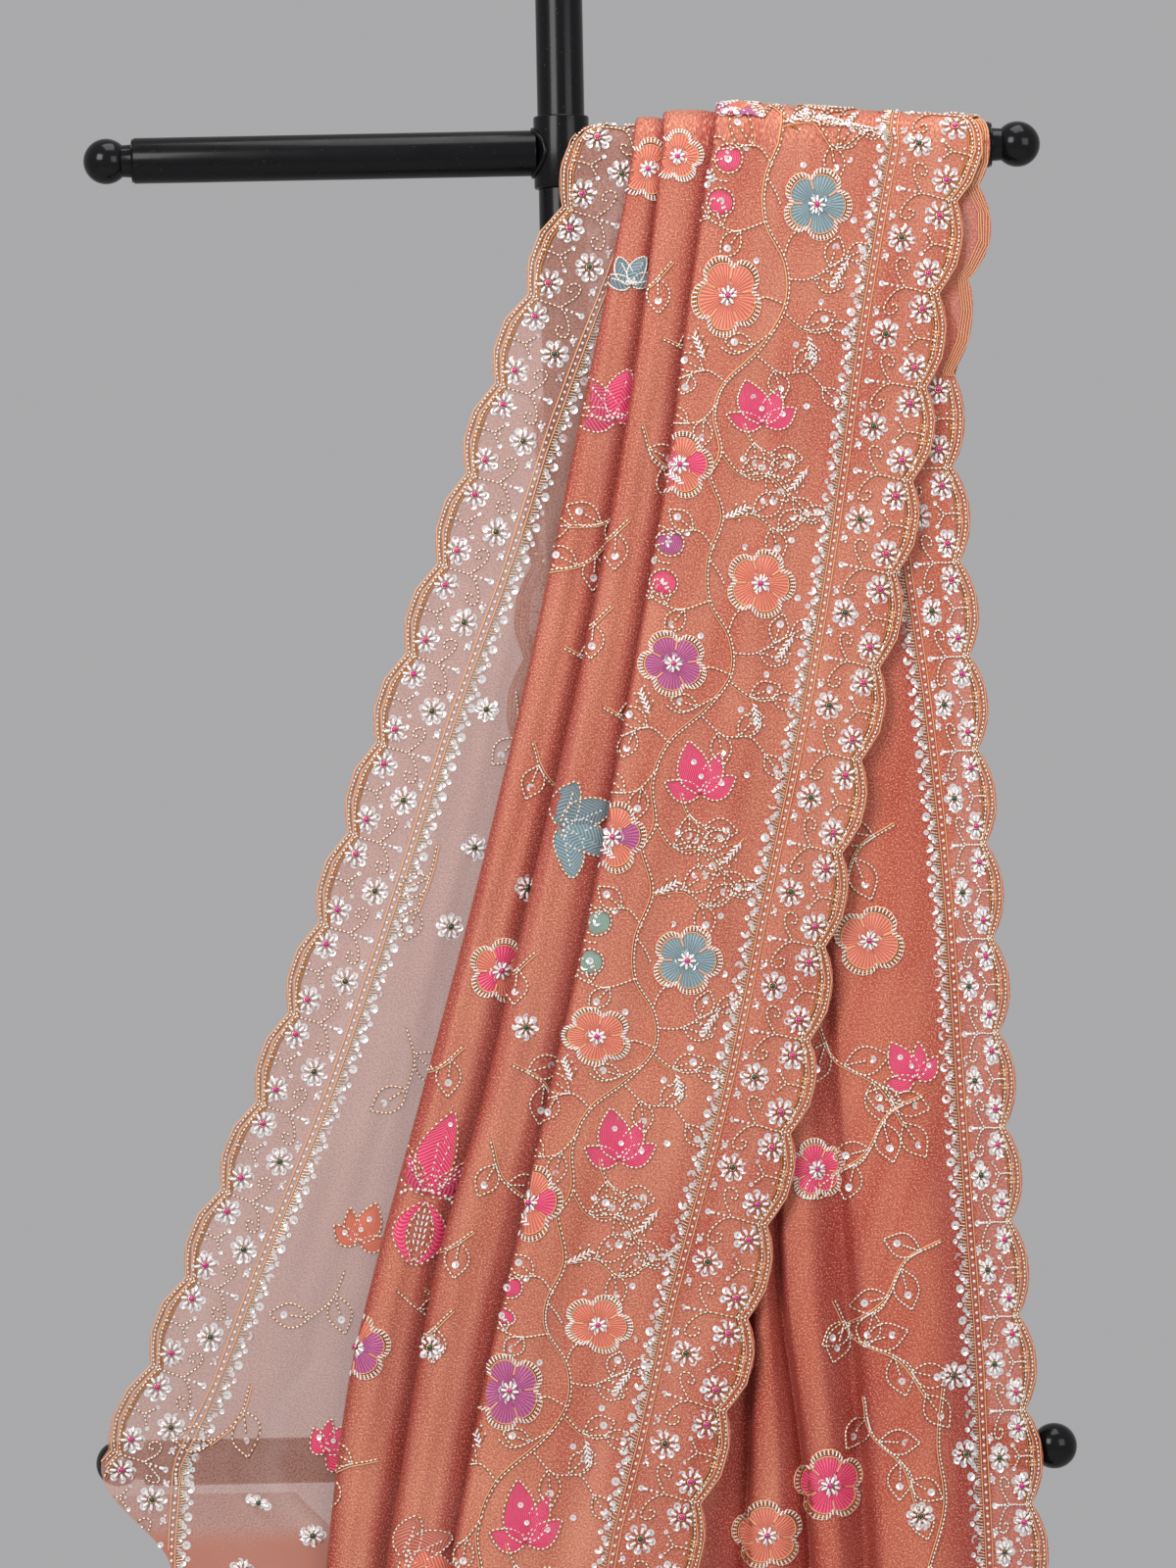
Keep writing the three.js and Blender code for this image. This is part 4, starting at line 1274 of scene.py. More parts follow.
def sewn_petals(name, petals, material):
    """All satin-stitched petals on a cloth, with their thread colours, some darker in painted shade, and the
    run of their stitches.
    """
    points, faces, colors, us, vs = [], [], [], [], []
    for here, shows, color, u, v in petals:
        rows, columns = shows.shape
        base = sum(len(block) for block in points)
        points.append(here.reshape(-1, 3))
        colors += [(*color, 1.0)] * (rows * columns)
        us.append(u.ravel())
        vs.append(v.ravel())
        for r in range(rows - 1):
            for c in range(columns - 1):
                if shows[r:r + 2, c:c + 2].all():
                    a = base + r * columns + c
                    faces.append((a, a + 1, a + columns + 1, a + columns))
    if not faces:
        return None
    thing = new_object(name, np.concatenate(points), faces, material)
    mesh = thing.data
    data = mesh.attributes.new("dye_and_shade", "FLOAT_COLOR", "POINT").data
    data.foreach_set("color", np.array(colors, "f").ravel())
    add_values(mesh, "stitch_along", np.concatenate(us))
    add_values(mesh, "stitch_across", np.concatenate(vs))
    return thing


# ---- Materials ----


class Finish:
    """A material with one Principled shader, its builder and shorthands for textures."""

    def __init__(self, name, color=None, **values):
        self.material = bpy.data.materials.new(name)
        self.material.use_nodes = True
        tree = self.material.node_tree
        self.shader = tree.nodes["Principled BSDF"]
        self.build = Builder(tree)
        if color:
            values["Base Color"] = color
        self.set(**values)

    def set(self, **values):
        for name, value in values.items():
            socket = self.shader.inputs[name.replace("_", " ")]
            value = getattr(value, "socket", value)
            if isinstance(value, bpy.types.NodeSocket):
                self.build.tree.links.new(value, socket)
            elif isinstance(value, tuple) and len(value) == 3 and socket.type == "RGBA":
                socket.default_value = (*value, 1)
            else:
                socket.default_value = value
        return self

    def value(self, socket):
        return Value(self.build, socket)

    def attribute(self, name, output="Fac"):
        node = self.build.add("ShaderNodeAttribute", attribute_name=name)
        return node.outputs["Color"] if output == "Color" else self.value(node.outputs["Fac"])

    def place(self, scale=(1, 1, 1), flat=False):
        node = self.build.add("ShaderNodeTexCoord")
        start = node.outputs["UV" if flat else "Object"]
        return self.build.add("ShaderNodeMapping", {"Vector": start, "Scale": scale}).outputs["Vector"]

    def noise(self, scale, vector, detail=3.0, roughness=0.55):
        node = self.build.add("ShaderNodeTexNoise", {
            "Vector": vector, "Scale": scale, "Detail": detail, "Roughness": roughness,
        })
        return self.value(node.outputs["Fac"])

    def bands(self, scale, vector, direction="X", warp=0.0):
        node = self.build.add("ShaderNodeTexWave", {
            "Vector": vector, "Scale": scale, "Distortion": warp,
        }, bands_direction=direction)
        return self.value(node.outputs["Fac"])

    def mix(self, part, first, second):
        node = self.build.add("ShaderNodeMix", data_type="RGBA", blend_type="MIX")
        for index, value in ((0, part), (6, first), (7, second)):
            value = getattr(value, "socket", value)
            if isinstance(value, bpy.types.NodeSocket):
                self.build.tree.links.new(value, node.inputs[index])
            elif isinstance(value, tuple):
                node.inputs[index].default_value = (*value, 1)
            else:
                node.inputs[index].default_value = value
        return node.outputs[2]

    def bump(self, height, strength, distance):
        node = self.build.add("ShaderNodeBump", {
            "Height": height, "Strength": strength, "Distance": distance,
        })
        return self.set(Normal=node.outputs["Normal"])


def organza(name, light, mid, valley, alpha, edge_alpha, silk, pale):
    """Tissue silk: a fine weave that varies between two tones, with painted gold glints, painted sheen in
    paler soft streaks, and painted shade that makes it redder where it turns away and in its valleys.
    """
    cloth = Finish(name, Metallic=0.22, IOR=1.45)
    flat = cloth.place(flat=True)
    broad = cloth.noise(11, flat, 2)
    streaks = cloth.noise(60, cloth.place((1, 0.16, 1), True), 2)
    falls = cloth.noise(26, cloth.place((1, 0.07, 1), True), 3)
    grain = cloth.noise(1050, flat, 2, 0.7)
    warp = cloth.bands(650, flat, "X", 1.5)
    weft = cloth.bands(650, flat, "Y", 1.5)
    gold = (broad * 0.5 + streaks * 0.35 + grain * 0.5).span(0.5, 0.86)
    shade = cloth.attribute("shade")
    color = cloth.mix(gold, mid, light)
    # Painted sheen: soft streaks down the cloth turn paler, towards the pale colour.
    color = cloth.mix(falls.span(0.5, 0.72) * silk, color, pale)
    # Painted shade: the shade attribute turns the colour towards the valley colour.
    color = cloth.mix(shade.clamp() * 0.85, color, valley)
    # Painted glints: the brightest specks of the grain turn pale gold, as the metal weft would sparkle.
    glint_speckle = grain.span(0.53, 0.66) * 0.75
    color = cloth.mix(glint_speckle, color, (0.95, 0.50, 0.30))
    color = cloth.mix(grain.span(0.47, 0.33) * 0.6, color, (0.27, 0.012, 0.008))
    edge = cloth.attribute("edge")
    color = cloth.mix(edge.span(1.5, DOUBLED) * (falls * 0.9 + 0.5).clamp(), color, (0.57, 0.19, 0.11))
    mauve = (weft * 0.6 + streaks).span(0.62, 1.15)
    color = cloth.mix(mauve * 0.3, color, (0.50, 0.17, 0.16))
    weave = warp * 0.5 + weft * 0.5
    solid = edge * (edge_alpha - alpha) + alpha + (weave - 0.5 + falls * 0.9 - 0.45) * 0.16 * (1 - alpha)
    cloth.set(Base_Color=color, Alpha=solid.clamp(), Roughness=(0.62 - grain * 0.22).clamp())
    cloth.set(Sheen_Weight=0.12, Sheen_Roughness=0.4, Sheen_Tint=(1.0, 0.62, 0.5))
    cloth.bump(weave * 0.5 + grain * 0.6, 0.4, 0.0005)
    return cloth.material


def thread_finish():
    """Satin-stitched silk floss: fine ridges along each stitch, with painted shade in the grooves between
    them and a painted highlight on their tops.
    """
    floss = Finish("silk floss", Metallic=0.05, Sheen_Weight=0.08, Sheen_Roughness=0.35)
    across = floss.attribute("stitch_across")
    along = floss.attribute("stitch_along")
    wobble = floss.noise(160, floss.place(), 2)
    ridge = (across * 6.4 + wobble * 4.0).math("SINE") * 0.5 + 0.5
    dye_and_shade = floss.attribute("dye_and_shade", "Color")
    # Painted shade darkens the grooves between the stitches; a painted highlight whitens the ridge tops, a
    # little more towards the petal's tip.
    deep = floss.mix(0.55, dye_and_shade, (0.10, 0.02, 0.03))
    color = floss.mix((ridge * 1.7 + 0.12).clamp(), deep, dye_and_shade)
    color = floss.mix((ridge.span(0.7, 1.0) * 0.16 + along * 0.04).clamp(), color, (1.0, 0.86, 0.82))
    floss.set(Base_Color=color, Roughness=(0.5 - ridge * 0.15).clamp())
    floss.bump(ridge, 0.6, 0.0005)
    return floss.material


def paint_finish():
    """Gloss black paint, with dust and a few faint rubs."""
    paint = Finish("gloss black paint", Specular_IOR_Level=0.14, Coat_Weight=0.14, Coat_Roughness=0.12)
    dust = paint.noise(900, paint.place(), 2)
    rub = paint.noise(24, paint.place((1, 1, 0.35)), 4)
    specks = dust.span(0.70, 0.76) * 0.5
    color = paint.mix(specks, (0.004, 0.0035, 0.0045), (0.16, 0.15, 0.14))
    paint.set(Base_Color=color, Roughness=(rub.span(0.3, 0.8, 0.2, 0.46) + specks * 0.3).clamp())
    paint.bump(rub, 0.08, 0.0006)
    return paint.material


# In each organza, silk is the share of painted sheen in pale streaks and pale is that sheen's colour; valley
# is the colour of the painted shade.
organza_full = organza(
    "organza", light=(0.70, 0.265, 0.15), mid=(0.47, 0.075, 0.047), valley=(0.36, 0.015, 0.012),
    alpha=0.985, edge_alpha=0.96, silk=0.36, pale=(0.84, 0.40, 0.26))
organza_under = organza(
    "organza under", light=(0.67, 0.185, 0.09), mid=(0.46, 0.048, 0.026), valley=(0.34, 0.01, 0.008),
    alpha=0.97, edge_alpha=0.84, silk=0.42, pale=(0.85, 0.36, 0.2))
organza_sheer = organza(
    "sheer organza", light=(0.65, 0.38, 0.305), mid=(0.53, 0.25, 0.20), valley=(0.56, 0.2, 0.15),
    alpha=0.57, edge_alpha=0.6, silk=0.5, pale=(0.86, 0.66, 0.6))
floss = thread_finish()
paint = paint_finish()
knob_plastic = Finish(
    "gloss black plastic", (0.005, 0.005, 0.006), Roughness=0.16, Specular_IOR_Level=0.24).material
# Seed beads: gold beads lined with silver, coloured near-white, which paints their shine in as a highlight.
highlit_seed_glass = Finish("silver lined glass", (0.96, 0.91, 0.84), Metallic=0.1, Roughness=0.2).material
bugle_glass = Finish("pale gold bugle", (0.80, 0.62, 0.46), Metallic=0.6, Roughness=0.24).material
tube_glass = Finish("white glass tube", (0.93, 0.89, 0.88), Metallic=0.05, Roughness=0.16).material
pearl_shine = Finish("pearl", (0.86, 0.76, 0.72), Roughness=0.2, Coat_Weight=0.6).material
sequin_shine = Finish("clear sequin", (0.96, 0.95, 0.95), Metallic=0.3, Roughness=0.22, Alpha=0.78).material
magenta_stone = Finish(
    "magenta stone", (0.62, 0.01, 0.3), Metallic=0.3, Roughness=0.1, Coat_Weight=1.0).material
green_stone = Finish(
    "green stone", (0.004, 0.06, 0.045), Metallic=0.4, Roughness=0.1, Coat_Weight=1.0).material
gold_rim = Finish("gold rim", (0.86, 0.56, 0.3), Metallic=1.0, Roughness=0.25).material
gold_thread = Finish("bronze gold thread", (0.56, 0.215, 0.06), Metallic=0.4, Roughness=0.4).material
peach_cord = Finish("peach cord", (0.88, 0.44, 0.23), Metallic=0.1, Roughness=0.5).material


# ---- Where the work is sewn ----


def flat_of(patch, across, drop):
    """The flat place of a point given by its place across and its drop, found in damped steps."""
    v = patch.unrolled(np.float64(drop))
    a = float(patch.line.length_at(drop))
    b = patch.inward * (across - float(patch.across(drop)))
    for _ in range(12):
        x, _, found = patch.where(np.array([[a, b]]))
        a += 0.8 * float(v - found[0])
        b += 0.8 * patch.inward * float(across - x[0])
    return a, b


# The seam of the sheer layer's border, and its line on down where the border is turned out of sight.
SEAM_RUN = Curve(
    [-13, 0, 20, 50, 100, 150, 200, 300, 400, 500, 600, 655, 708, 757, 850, 1360],
    [53, 47, 41, 30, 9, -11, -27, -65, -99, -135, -177, -198.5, -222, -226, -226, -219],
)
PLAIN_UNDER = 128               # above this drop the under border shows its cords alone
OFF_FOLD = 0.6                  # work starts this far from a pleat's fold
UNDER_NEXT = 4                  # and runs on this far under the next layer


def only_below(work, length):
    """The part of flat work that lies further down than a length."""
    left = Motif()
    left.beads = {kind: rows[rows[:, 0] > length] for kind, rows in work.beads.items()}
    left.threads = [(kind, line[line[:, 0] > length]) for kind, line in work.threads]
    left.threads = [(kind, line) for kind, line in left.threads if len(line) > 1]
    return left


def smooth_over_arm(work, length=5):
    """Flat work with only its seed beads and threads where it lies on top of the arm."""
    left = Motif()
    left.beads = {kind: rows[(rows[:, 0] > length) | (kind == "seed")] for kind, rows in work.beads.items()}
    left.threads = work.threads
    left.petals = [petal for petal in work.petals if petal[0][..., 0].min() > length]
    return left


def cord_border(length, valley):
    """Rows of cord inside a scalloped edge, down to a length."""
    work = Motif()
    for i in range(-1, int(length / SCALLOP_PITCH) + 1):
        arc = np.linspace(0, SCALLOP_PITCH, 22)
        for inset in (0.5, 1.9, 3.3, 4.7, 6.1):
            line = np.stack([valley + i * SCALLOP_PITCH + arc, inset - scallop(arc, 0)], axis=1)
            line = line[line[:, 0] <= length]
            if len(line) > 1:
                work.thread("cord", line)
    return work


def patches_of(fall):
    """The stretches of cloth on one side, each with its rule for where work is sewn on it."""
    across = fall.across
    is_front = fall.side == FRONT
    sheer_line = SHEER_RUN if is_front else across["sheerEdge"]
    sheer_seam = SEAM_RUN if is_front else across["sheerSeam"]

    def on_sheer(x, drop):
        edge = across["sheerEdge"](drop)
        start = np.where((drop > 700) & is_front, edge + 0.8, edge - 9)
        return (x > start) & (x < across["first"](drop) + 6)

    def on_first(x, drop):
        return (x > across["first"](drop) + OFF_FOLD) & (x < across["second"](drop) + UNDER_NEXT)

    def on_second(x, drop):
        return (x > across["second"](drop) + OFF_FOLD) & (x < across["top"](drop) + UNDER_NEXT)

    def on_top(x, drop):
        return x > across["top"](drop) + OFF_FOLD

    def on_under(x, drop):
        shown = across["topEdge"](drop) - (16 if is_front else 3)
        return (x > shown) & (x > UNDER_FOLDS["inner"](drop) + 3)

    return {
        "sheer": Patch(fall, sheer_line, fall.sheer, RIGHTWARD, on_sheer, sheer_seam),
        "first": Patch(fall, across["first"], fall.first, RIGHTWARD, on_first),
        "second": Patch(fall, across["second"], fall.second, RIGHTWARD, on_second),
        "top": Patch(fall, across["topEdge"], fall.top, LEFTWARD, on_top, across["topSeam"]),
        "under": Patch(fall, across["underEdge"], fall.under, LEFTWARD, on_under, across["underSeam"]),
    }


def berries(color, second):
    """A pair of fruits that hang from one stem, with a bead flower."""
    pair = Motif().add(berry(color), -11, 0).add(berry(second), 11, 0, math.pi)
    pair.add(bead_flower("magenta", 7), 0, 11, 0, 0.7)
    return pair.chain([(0, -2), (0, 4), (-5, 8)])


# Stems between the flowers of one repeat: their points, their leaves and whether a cord runs beside them.
FIELD_TWIGS = (
    ([(30, 86), (20, 84), (14, 80)], (), False),
    ([(40, 81), (38, 70), (30, 60), (24, 52)], ((0.4, 1, 13), (0.7, -1, 13), (1.0, 0, 12)), False),
    ([(56, 80), (62, 68), (60, 56)], ((0.5, -1, 14), (0.98, 0.3, 12)), True),
    ([(78, 92), (86, 78), (84, 64), (92, 54)], ((0.3, 1, 14), (0.55, -1, 14), (1.0, 0, 12)), False),
    ([(120, 94), (130, 88), (136, 76)], ((0.5, 1, 13), (0.9, -0.6, 14)), True),
    ([(138, 104), (148, 92), (146, 76), (156, 62)],
     ((0.3, -1, 15), (0.6, 1, 14), (0.62, -1, 13), (1.0, 0, 13)), True),
    ([(-32, 98), (-36, 82), (-30, 68), (-38, 56)],
     ((0.35, -1, 16), (0.6, 1, 14), (0.7, -1, 13), (1.0, 0, 12)), True),
    ([(96, 106), (90, 118), (98, 132)], ((0.5, 1, 14), (0.75, -1, 12), (1.0, 0, 13)), False),
    ([(14, 98), (22, 114), (18, 130)], ((0.45, -1, 13), (0.75, 1, 12), (1.0, 0, 12)), False),
    ([(-8, 102), (-2, 96), (4, 92)], (), False),
    ([(-14, 100), (-22, 110), (-18, 124)], ((0.6, 1, 13), (1.0, 0, 13)), False),
    ([(52, 80), (50, 92), (54, 98)], (), False),
    ([(64, 84), (78, 102), (76, 112)], ((0.4, 1, 12),), False),
    ([(110, 109), (124, 118), (128, 134)], ((0.4, -1, 13), (0.7, 1, 12), (1.0, 0, 12)), False),
)


def repeat_motif(turn):
    """One repeat of the field beside a border's seam. Every other repeat changes its flowers' colours."""
    first, second = (BLUE, ORANGE) if turn % 2 else (ORANGE, PURPLE)
    fruit, fruit_two = ((MINT, MINT), (PINK, PINK), (PURPLE, PINK))[turn % 3]
    work = Motif()
    work.add(open_flower(first), 0, 73, 0.5)
    work.add(open_flower(second), 52, 112, -0.3)
    work.add(lotus(PINK, 1.45), 119, 84, math.pi - 0.25)
    work.add(berries(fruit, fruit_two), -2, 124)
    work.add(open_flower(PINK if turn % 2 else PURPLE, 14.5, second=ORANGE), 149, 125, 0.4)
    main = [(-52, 108), (-32, 98), (-8, 102), (14, 98), (32, 84), (52, 80), (74, 90), (96, 106),
            (118, 110), (138, 104), (151, 108)]
    work.chain(main, cord=True)
    for stem, leaves, cord in FIELD_TWIGS:
        work.add(twig(stem, leaves, cord))
    work.add(feather(), 82, 120, 2.6).add(feather(), 140, 58, 0.5).add(feather(), 26, 52, 0.4)
    work.add(feather(), 172, 96, -2.2).add(feather(14), -46, 122, 2.0).add(feather(), 66, 66, -0.4)
    work.sequin([(-18, 84), (70, 72), (98, 92), (104, 62), (140, 92), (160, 78), (178, 60), (34, 100),
                 (74, 134), (124, 132), (-20, 116), (48, 62), (4, 52)], 3.6)
    return work


def small_twig(middle, tip, side=1):
    """A short corded stem through two points, with a leaf to each side and one at its tip."""
    return twig([(0, 0), middle, tip], ((0.3, side, 15), (0.6, -side, 15), (1, 0, 14)), True)


LONG_TWIG = twig([(0, 0), (22, 8), (48, 2), (72, 8)], (
    (0.18, 1, 18), (0.4, -1, 19), (0.62, 1, 18), (0.8, -1, 17), (1, 0, 17),
), True)

CROSS_TWIG = twig([(0, 0), (18, 5), (36, 0)], ((0.25, 1, 16), (0.55, -1, 16), (1, 0, 16)), True)

# Work on the front: cloth, motif, across, drop, turn and size.
FRONT_WORK = (
    ("first", open_flower(ORANGE, 14, "magenta", 5), 46, 12, 0.2, 0.95),
    ("first", spray(BLUE), 36, 74, 3.3, 0.6),
    ("first", spray(PINK), 26, 146, 3.5, 1.0),
    ("first", open_flower(ORANGE, 14, "magenta", 5, PINK), -41, 440, 0.3, 1.0),
    ("first", great_lotus(PINK, PINK), -83, 562, 3.2, 1.4),
    ("first", open_flower(PURPLE, 15, "magenta", 5, ORANGE), -122, 640, 0.4, 1.0),
    ("first", spray(ORANGE), -112, 880, 3.2, 0.9),
    ("first", great_lotus(PINK, PINK), -138, 1120, 3.2, 1.0),
    ("first", small_twig((18, 6), (38, 2)), 22, 210, -0.95, 1),
    ("first", small_twig((20, -5), (44, 2), -1), -22, 318, 0.85, 1),
    ("first", twig([(0, 0), (20, -5), (44, 2)], ((0.4, -1, 15), (0.7, 1, 15), (1, 0, 14))),
     -50, 380, -0.95, 1),
    ("first", twig([(0, 0), (16, 4), (30, 10)], ((0.5, 1, 14), (1, 0, 13))), -100, 610, 0.85, 1),
    ("first", small_twig((20, -5), (44, 2), -1), -112, 700, -0.95, 1),
    ("first", small_twig((20, 5), (44, -2)), -124, 960, 0.85, 1),
    ("first", CROSS_TWIG, 34, 190, -1.0, 1),
    ("first", CROSS_TWIG, -4, 268, 0.95, 1),
    ("first", CROSS_TWIG, -62, 480, -0.9, 1),
    ("first", CROSS_TWIG, -86, 610, 0.9, 1),
    ("first", bead_flower("green"), -26, 396, 0, 0.9),
    ("second", open_flower(ORANGE, 14, "magenta", 5), 62, 6, 0.2, 0.8),
    ("second", small_twig((18, 6), (38, 2)), 58, 62, -0.95, 1),
    ("second", small_twig((18, -6), (40, 2)), 40, 150, 0.85, 1),
    ("second", small_twig((20, 6), (42, 0)), 22, 246, -0.95, 1),
    ("second", spray(BLUE), -7, 364, 1.75, 1.12),
    ("second", small_twig((20, 6), (42, 0)), -22, 430, -0.95, 1),
    ("second", small_twig((20, -6), (42, 0), -1), -48, 530, 0.85, 1),
    ("second", small_twig((20, 6), (42, 0)), -70, 620, -0.95, 1),
    ("second", spray(ORANGE), -98, 752, 1.7, 1.05),
    ("second", great_lotus(PINK, PINK), -100, 960, 3.2, 0.95),
    ("second", spray(BLUE), -112, 1180, 3.2, 0.95),
    ("second", CROSS_TWIG, 52, 104, 0.95, 1),
    ("second", CROSS_TWIG, 32, 200, -0.95, 1),
    ("second", CROSS_TWIG, 16, 300, 0.9, 1),
    ("second", CROSS_TWIG, -36, 490, 1.0, 1),
    ("second", CROSS_TWIG, -58, 578, -1.0, 1),
    ("second", bead_flower("green"), -28, 470, 0, 0.9),
    ("second", bead_flower("green"), -82, 640, 0, 0.9),
    ("sheer", bead_flower("green"), -54, 374, 0, 0.9),
    ("sheer", bead_flower("green"), -68, 416, 0, 0.9),
    ("sheer", bead_flower("green"), -46, 300, 0, 0.8),
    ("sheer", twig([(0, 0), (14, -8), (30, -20)], ((0.5, -1, 15), (1, 0, 14)), True), -74, 372, 0.6, 1),
    ("sheer", twig([(0, 0), (10, -8), (22, -20)], ((0.4, 1, 17), (0.9, -1, 16))), -30, 290, 1.1, 1),
    ("sheer", twig([(0, 0), (16, 6), (34, 4)], ((0.4, 1, 18), (0.95, -1, 17))), -92, 470, 0.2, 1),
    ("sheer", twig([(0, 0), (16, 6), (34, 4)], ((0.4, 1, 17), (0.95, -1, 17))), -128, 600, -0.4, 1),
    ("sheer", lotus(ORANGE), -120, 585, 3.3, 1.15),
    ("sheer", lotus(PINK), -140, 698, 2.9, 1.0),
    ("sheer", twig([(0, 0), (16, 6), (34, 4)], ((0.4, 1, 17), (0.95, -1, 17)), True), -180, 660, -0.3, 1),
    ("sheer", bead_flower("green"), -176, 718, 0, 0.95),
    ("sheer", bead_flower("green"), -148, 742, 0, 0.95),
    ("sheer", bead_flower("green"), -186, 760, 0, 0.95),
    ("under", open_flower(ORANGE, 15, "magenta", 4), 157, 428, 0.5, 1.05),
    ("under", lotus(PINK), 180, 503, 2.8, 1.2),
    ("under", open_flower(PINK, 14, "magenta", 5), 126, 550, 0.2, 0.95),
    ("under", open_flower(PINK, 15, "magenta", 5), 130, 719, 0.2, 1.05),
    ("under", open_flower(ORANGE, 15, "magenta", 5), 96, 745, 0.2, 1.05),
    ("under", bead_flower("green"), 197, 662, 0, 0.95),
    ("under", bead_flower("green"), 203, 704, 0, 0.95),
    ("under", bead_flower("green"), 178, 736, 0, 0.95),
    ("under", LONG_TWIG, 172, 366, 0.7, 1),
    ("under", LONG_TWIG, 128, 470, -0.75, 1),
    ("under", LONG_TWIG, 184, 512, 0.8, 0.9),
    ("under", LONG_TWIG, 134, 620, -0.8, 1),
    ("under", LONG_TWIG, 192, 590, 0.8, 0.9),
    ("under", twig([(0, 0), (30, 4), (62, 2), (96, 12)], ((1, 0, 13),), True), 192, 668, 0.0, 1),
    ("under", LONG_TWIG, 150, 672, -0.5, 0.9),
)

# Lower down, below the lower arm: cloth, motif, across, drop, turn and size.
LOWER_WORK = (
    ("under", open_flower(ORANGE, 15, "magenta", 5), 150, 842, 0.5, 1.0),
    ("under", LONG_TWIG, 190, 880, 0.6, 1),
    ("under", lotus(PINK), 104, 930, 2.8, 1.2),
    ("under", LONG_TWIG, 128, 1000, -0.7, 1),
    ("under", open_flower(PINK, 14, "magenta", 5), 172, 1046, 0.2, 1.0),
    ("under", LONG_TWIG, 190, 1120, 0.6, 1),
    ("under", open_flower(ORANGE, 15, "magenta", 5), 112, 1170, 0.2, 1.0),
    ("under", LONG_TWIG, 130, 1240, -0.7, 1),
    ("under", lotus(PINK), 180, 1290, 2.8, 1.2),
    ("sheer", lotus(ORANGE), -178, 860, 3.3, 1.1),
    ("sheer", CROSS_TWIG, -186, 940, -0.4, 1),
    ("sheer", bead_flower("green"), -180, 1010, 0, 0.95),
    ("sheer", lotus(PINK), -182, 1090, 2.9, 1.0),
    ("sheer", CROSS_TWIG, -188, 1170, -0.4, 1),
    ("sheer", bead_flower("green"), -184, 1240, 0, 0.95),
)

REPEAT = 204                    # along the edge, from one repeat of the field to the next
FIELD_START = {FRONT: 76, BACK: 128}
# The drops of the lotuses along the pleats' folds.
LOTUS_DROPS = {
    FRONT: {"first": (930, 1180), "second": (860, 1080)},
    BACK: {"first": (90, 330, 570, 810, 1050, 1270), "second": (200, 440, 680, 920, 1160)},
}


def sew_side(fall):
    """The work on every cloth of one side."""
    patches = patches_of(fall)
    is_front = fall.side == FRONT
    sewn = {name: Work() for name in patches}
    length = {name: patch.line.length_at(LAST_DROP + 6) for name, patch in patches.items()}
    valleys = {"sheer": SHEER_VALLEY, "top": TOP_VALLEY, "under": UNDER_VALLEY}
    for name, valley in valleys.items():
        start = valley if is_front else SCALLOP_PITCH - valley
        border = border_motif(length[name], start)
        if name == "under":
            hidden = patches[name].line.length_at(PLAIN_UNDER)
            border = only_below(border, hidden).add(cord_border(hidden, start))
        sewn[name].sew(patches[name], border)
    for turn in range(-1, 7):
        start = FIELD_START[fall.side] + turn * REPEAT
        field = Motif().add(repeat_motif(turn + 1 + (not is_front)), start, 0)
        sewn["top"].sew(patches["top"], smooth_over_arm(field))
    if is_front:
        for name, motif, across, drop, turn, size in FRONT_WORK + LOWER_WORK:
            a, b = flat_of(patches[name], across, drop)
            sewn[name].sew(patches[name], Motif().add(motif, a, b, turn, size))
    for name, drops in LOTUS_DROPS[fall.side].items():
        for i, drop in enumerate(drops):
            color = (PINK, ORANGE, BLUE)[i % 3]
            x = float(fall.across[name](drop)) + 17
            a, b = flat_of(patches[name], x, drop)
            sewn[name].sew(patches[name], Motif().add(great_lotus(color, color), a, b, math.pi, 0.85))
            vine = twig([(0, 0), (20, 6), (42, 0), (64, 5)], ((0.3, 1, 15), (0.6, -1, 15), (1, 0, 14)), True)
            sewn[name].sew(patches[name], Motif().add(vine, a + 40, b))
    return sewn


# ---- Making the sewn work ----


def bead_shapes(side, more):
    """The shape of each kind of bead, one unit long or wide, with more edges round where it is seen close."""
    barrel = [(0.36, -0.5), (0.5, 0.0), (0.36, 0.5)]
    facets = [(0.5, 0.0), (0.42, 0.3), (0.2, 0.44)]
    made = {
        "seed": rings_shape(side + "_seed", [(0.45, -0.5), (0.45, 0.5)], 4 + more, True),
        "tube": rings_shape(side + "_tube", barrel, 4 + more, True),
        "bugle": rings_shape(side + "_bugle", [(0.5, -0.5), (0.5, 0.5)], 4, True),
        "pearl": rings_shape(side + "_pearl", [(0.5, 0.0), (0.34, 0.36)], 5 + more, cap_end=True),
        "sequin": rings_shape(side + "_sequin", [(0.5, 0.0), (0.1, -0.08)], 8 + more),
        "magenta": rings_shape(side + "_stone", facets, 5 + more, cap_end=True),
        "rim": torus_shape(side + "_rim", 7 + more, 0.09),
    }
    return {**made, "green": made["magenta"]}


BEAD_FINISH = {
    "seed": highlit_seed_glass, "tube": tube_glass, "bugle": bugle_glass, "pearl": pearl_shine,
    "sequin": sequin_shine, "magenta": magenta_stone, "green": green_stone, "rim": gold_rim,
}
THREADS = {"cord": (0.5 * MM, 3, peach_cord), "gold": (0.58 * MM, 3, gold_thread)}


def make_sewn(side, works, more):
    """Objects for the work on one side: one for each kind of bead and thread on each cloth."""
    sewn_on, thread, shapes = instancer(), threader(), bead_shapes(side, more)
    made = []
    for cloth, work in works.items():
        for kind, found in work.beads.items():
            made.append(sewn_beads(f"{side}_{cloth}_{kind}", sewn_on, shapes[kind], found, BEAD_FINISH[kind]))
        for kind, lines in work.threads.items():
            radius, sides, finish = THREADS[kind]
            made.append(sewn_threads(f"{side}_{cloth}_{kind}", thread, lines, radius, sides, finish))
        if work.petals:
            made.append(sewn_petals(f"{side}_{cloth}_floss", work.petals, floss))
    made = [thing for thing in made if thing]
    for thing in made:
        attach(thing, "root")
    for shape in set(shapes.values()):
        bpy.data.objects.remove(shape)
    return made


# ---- The cloth and its work ----

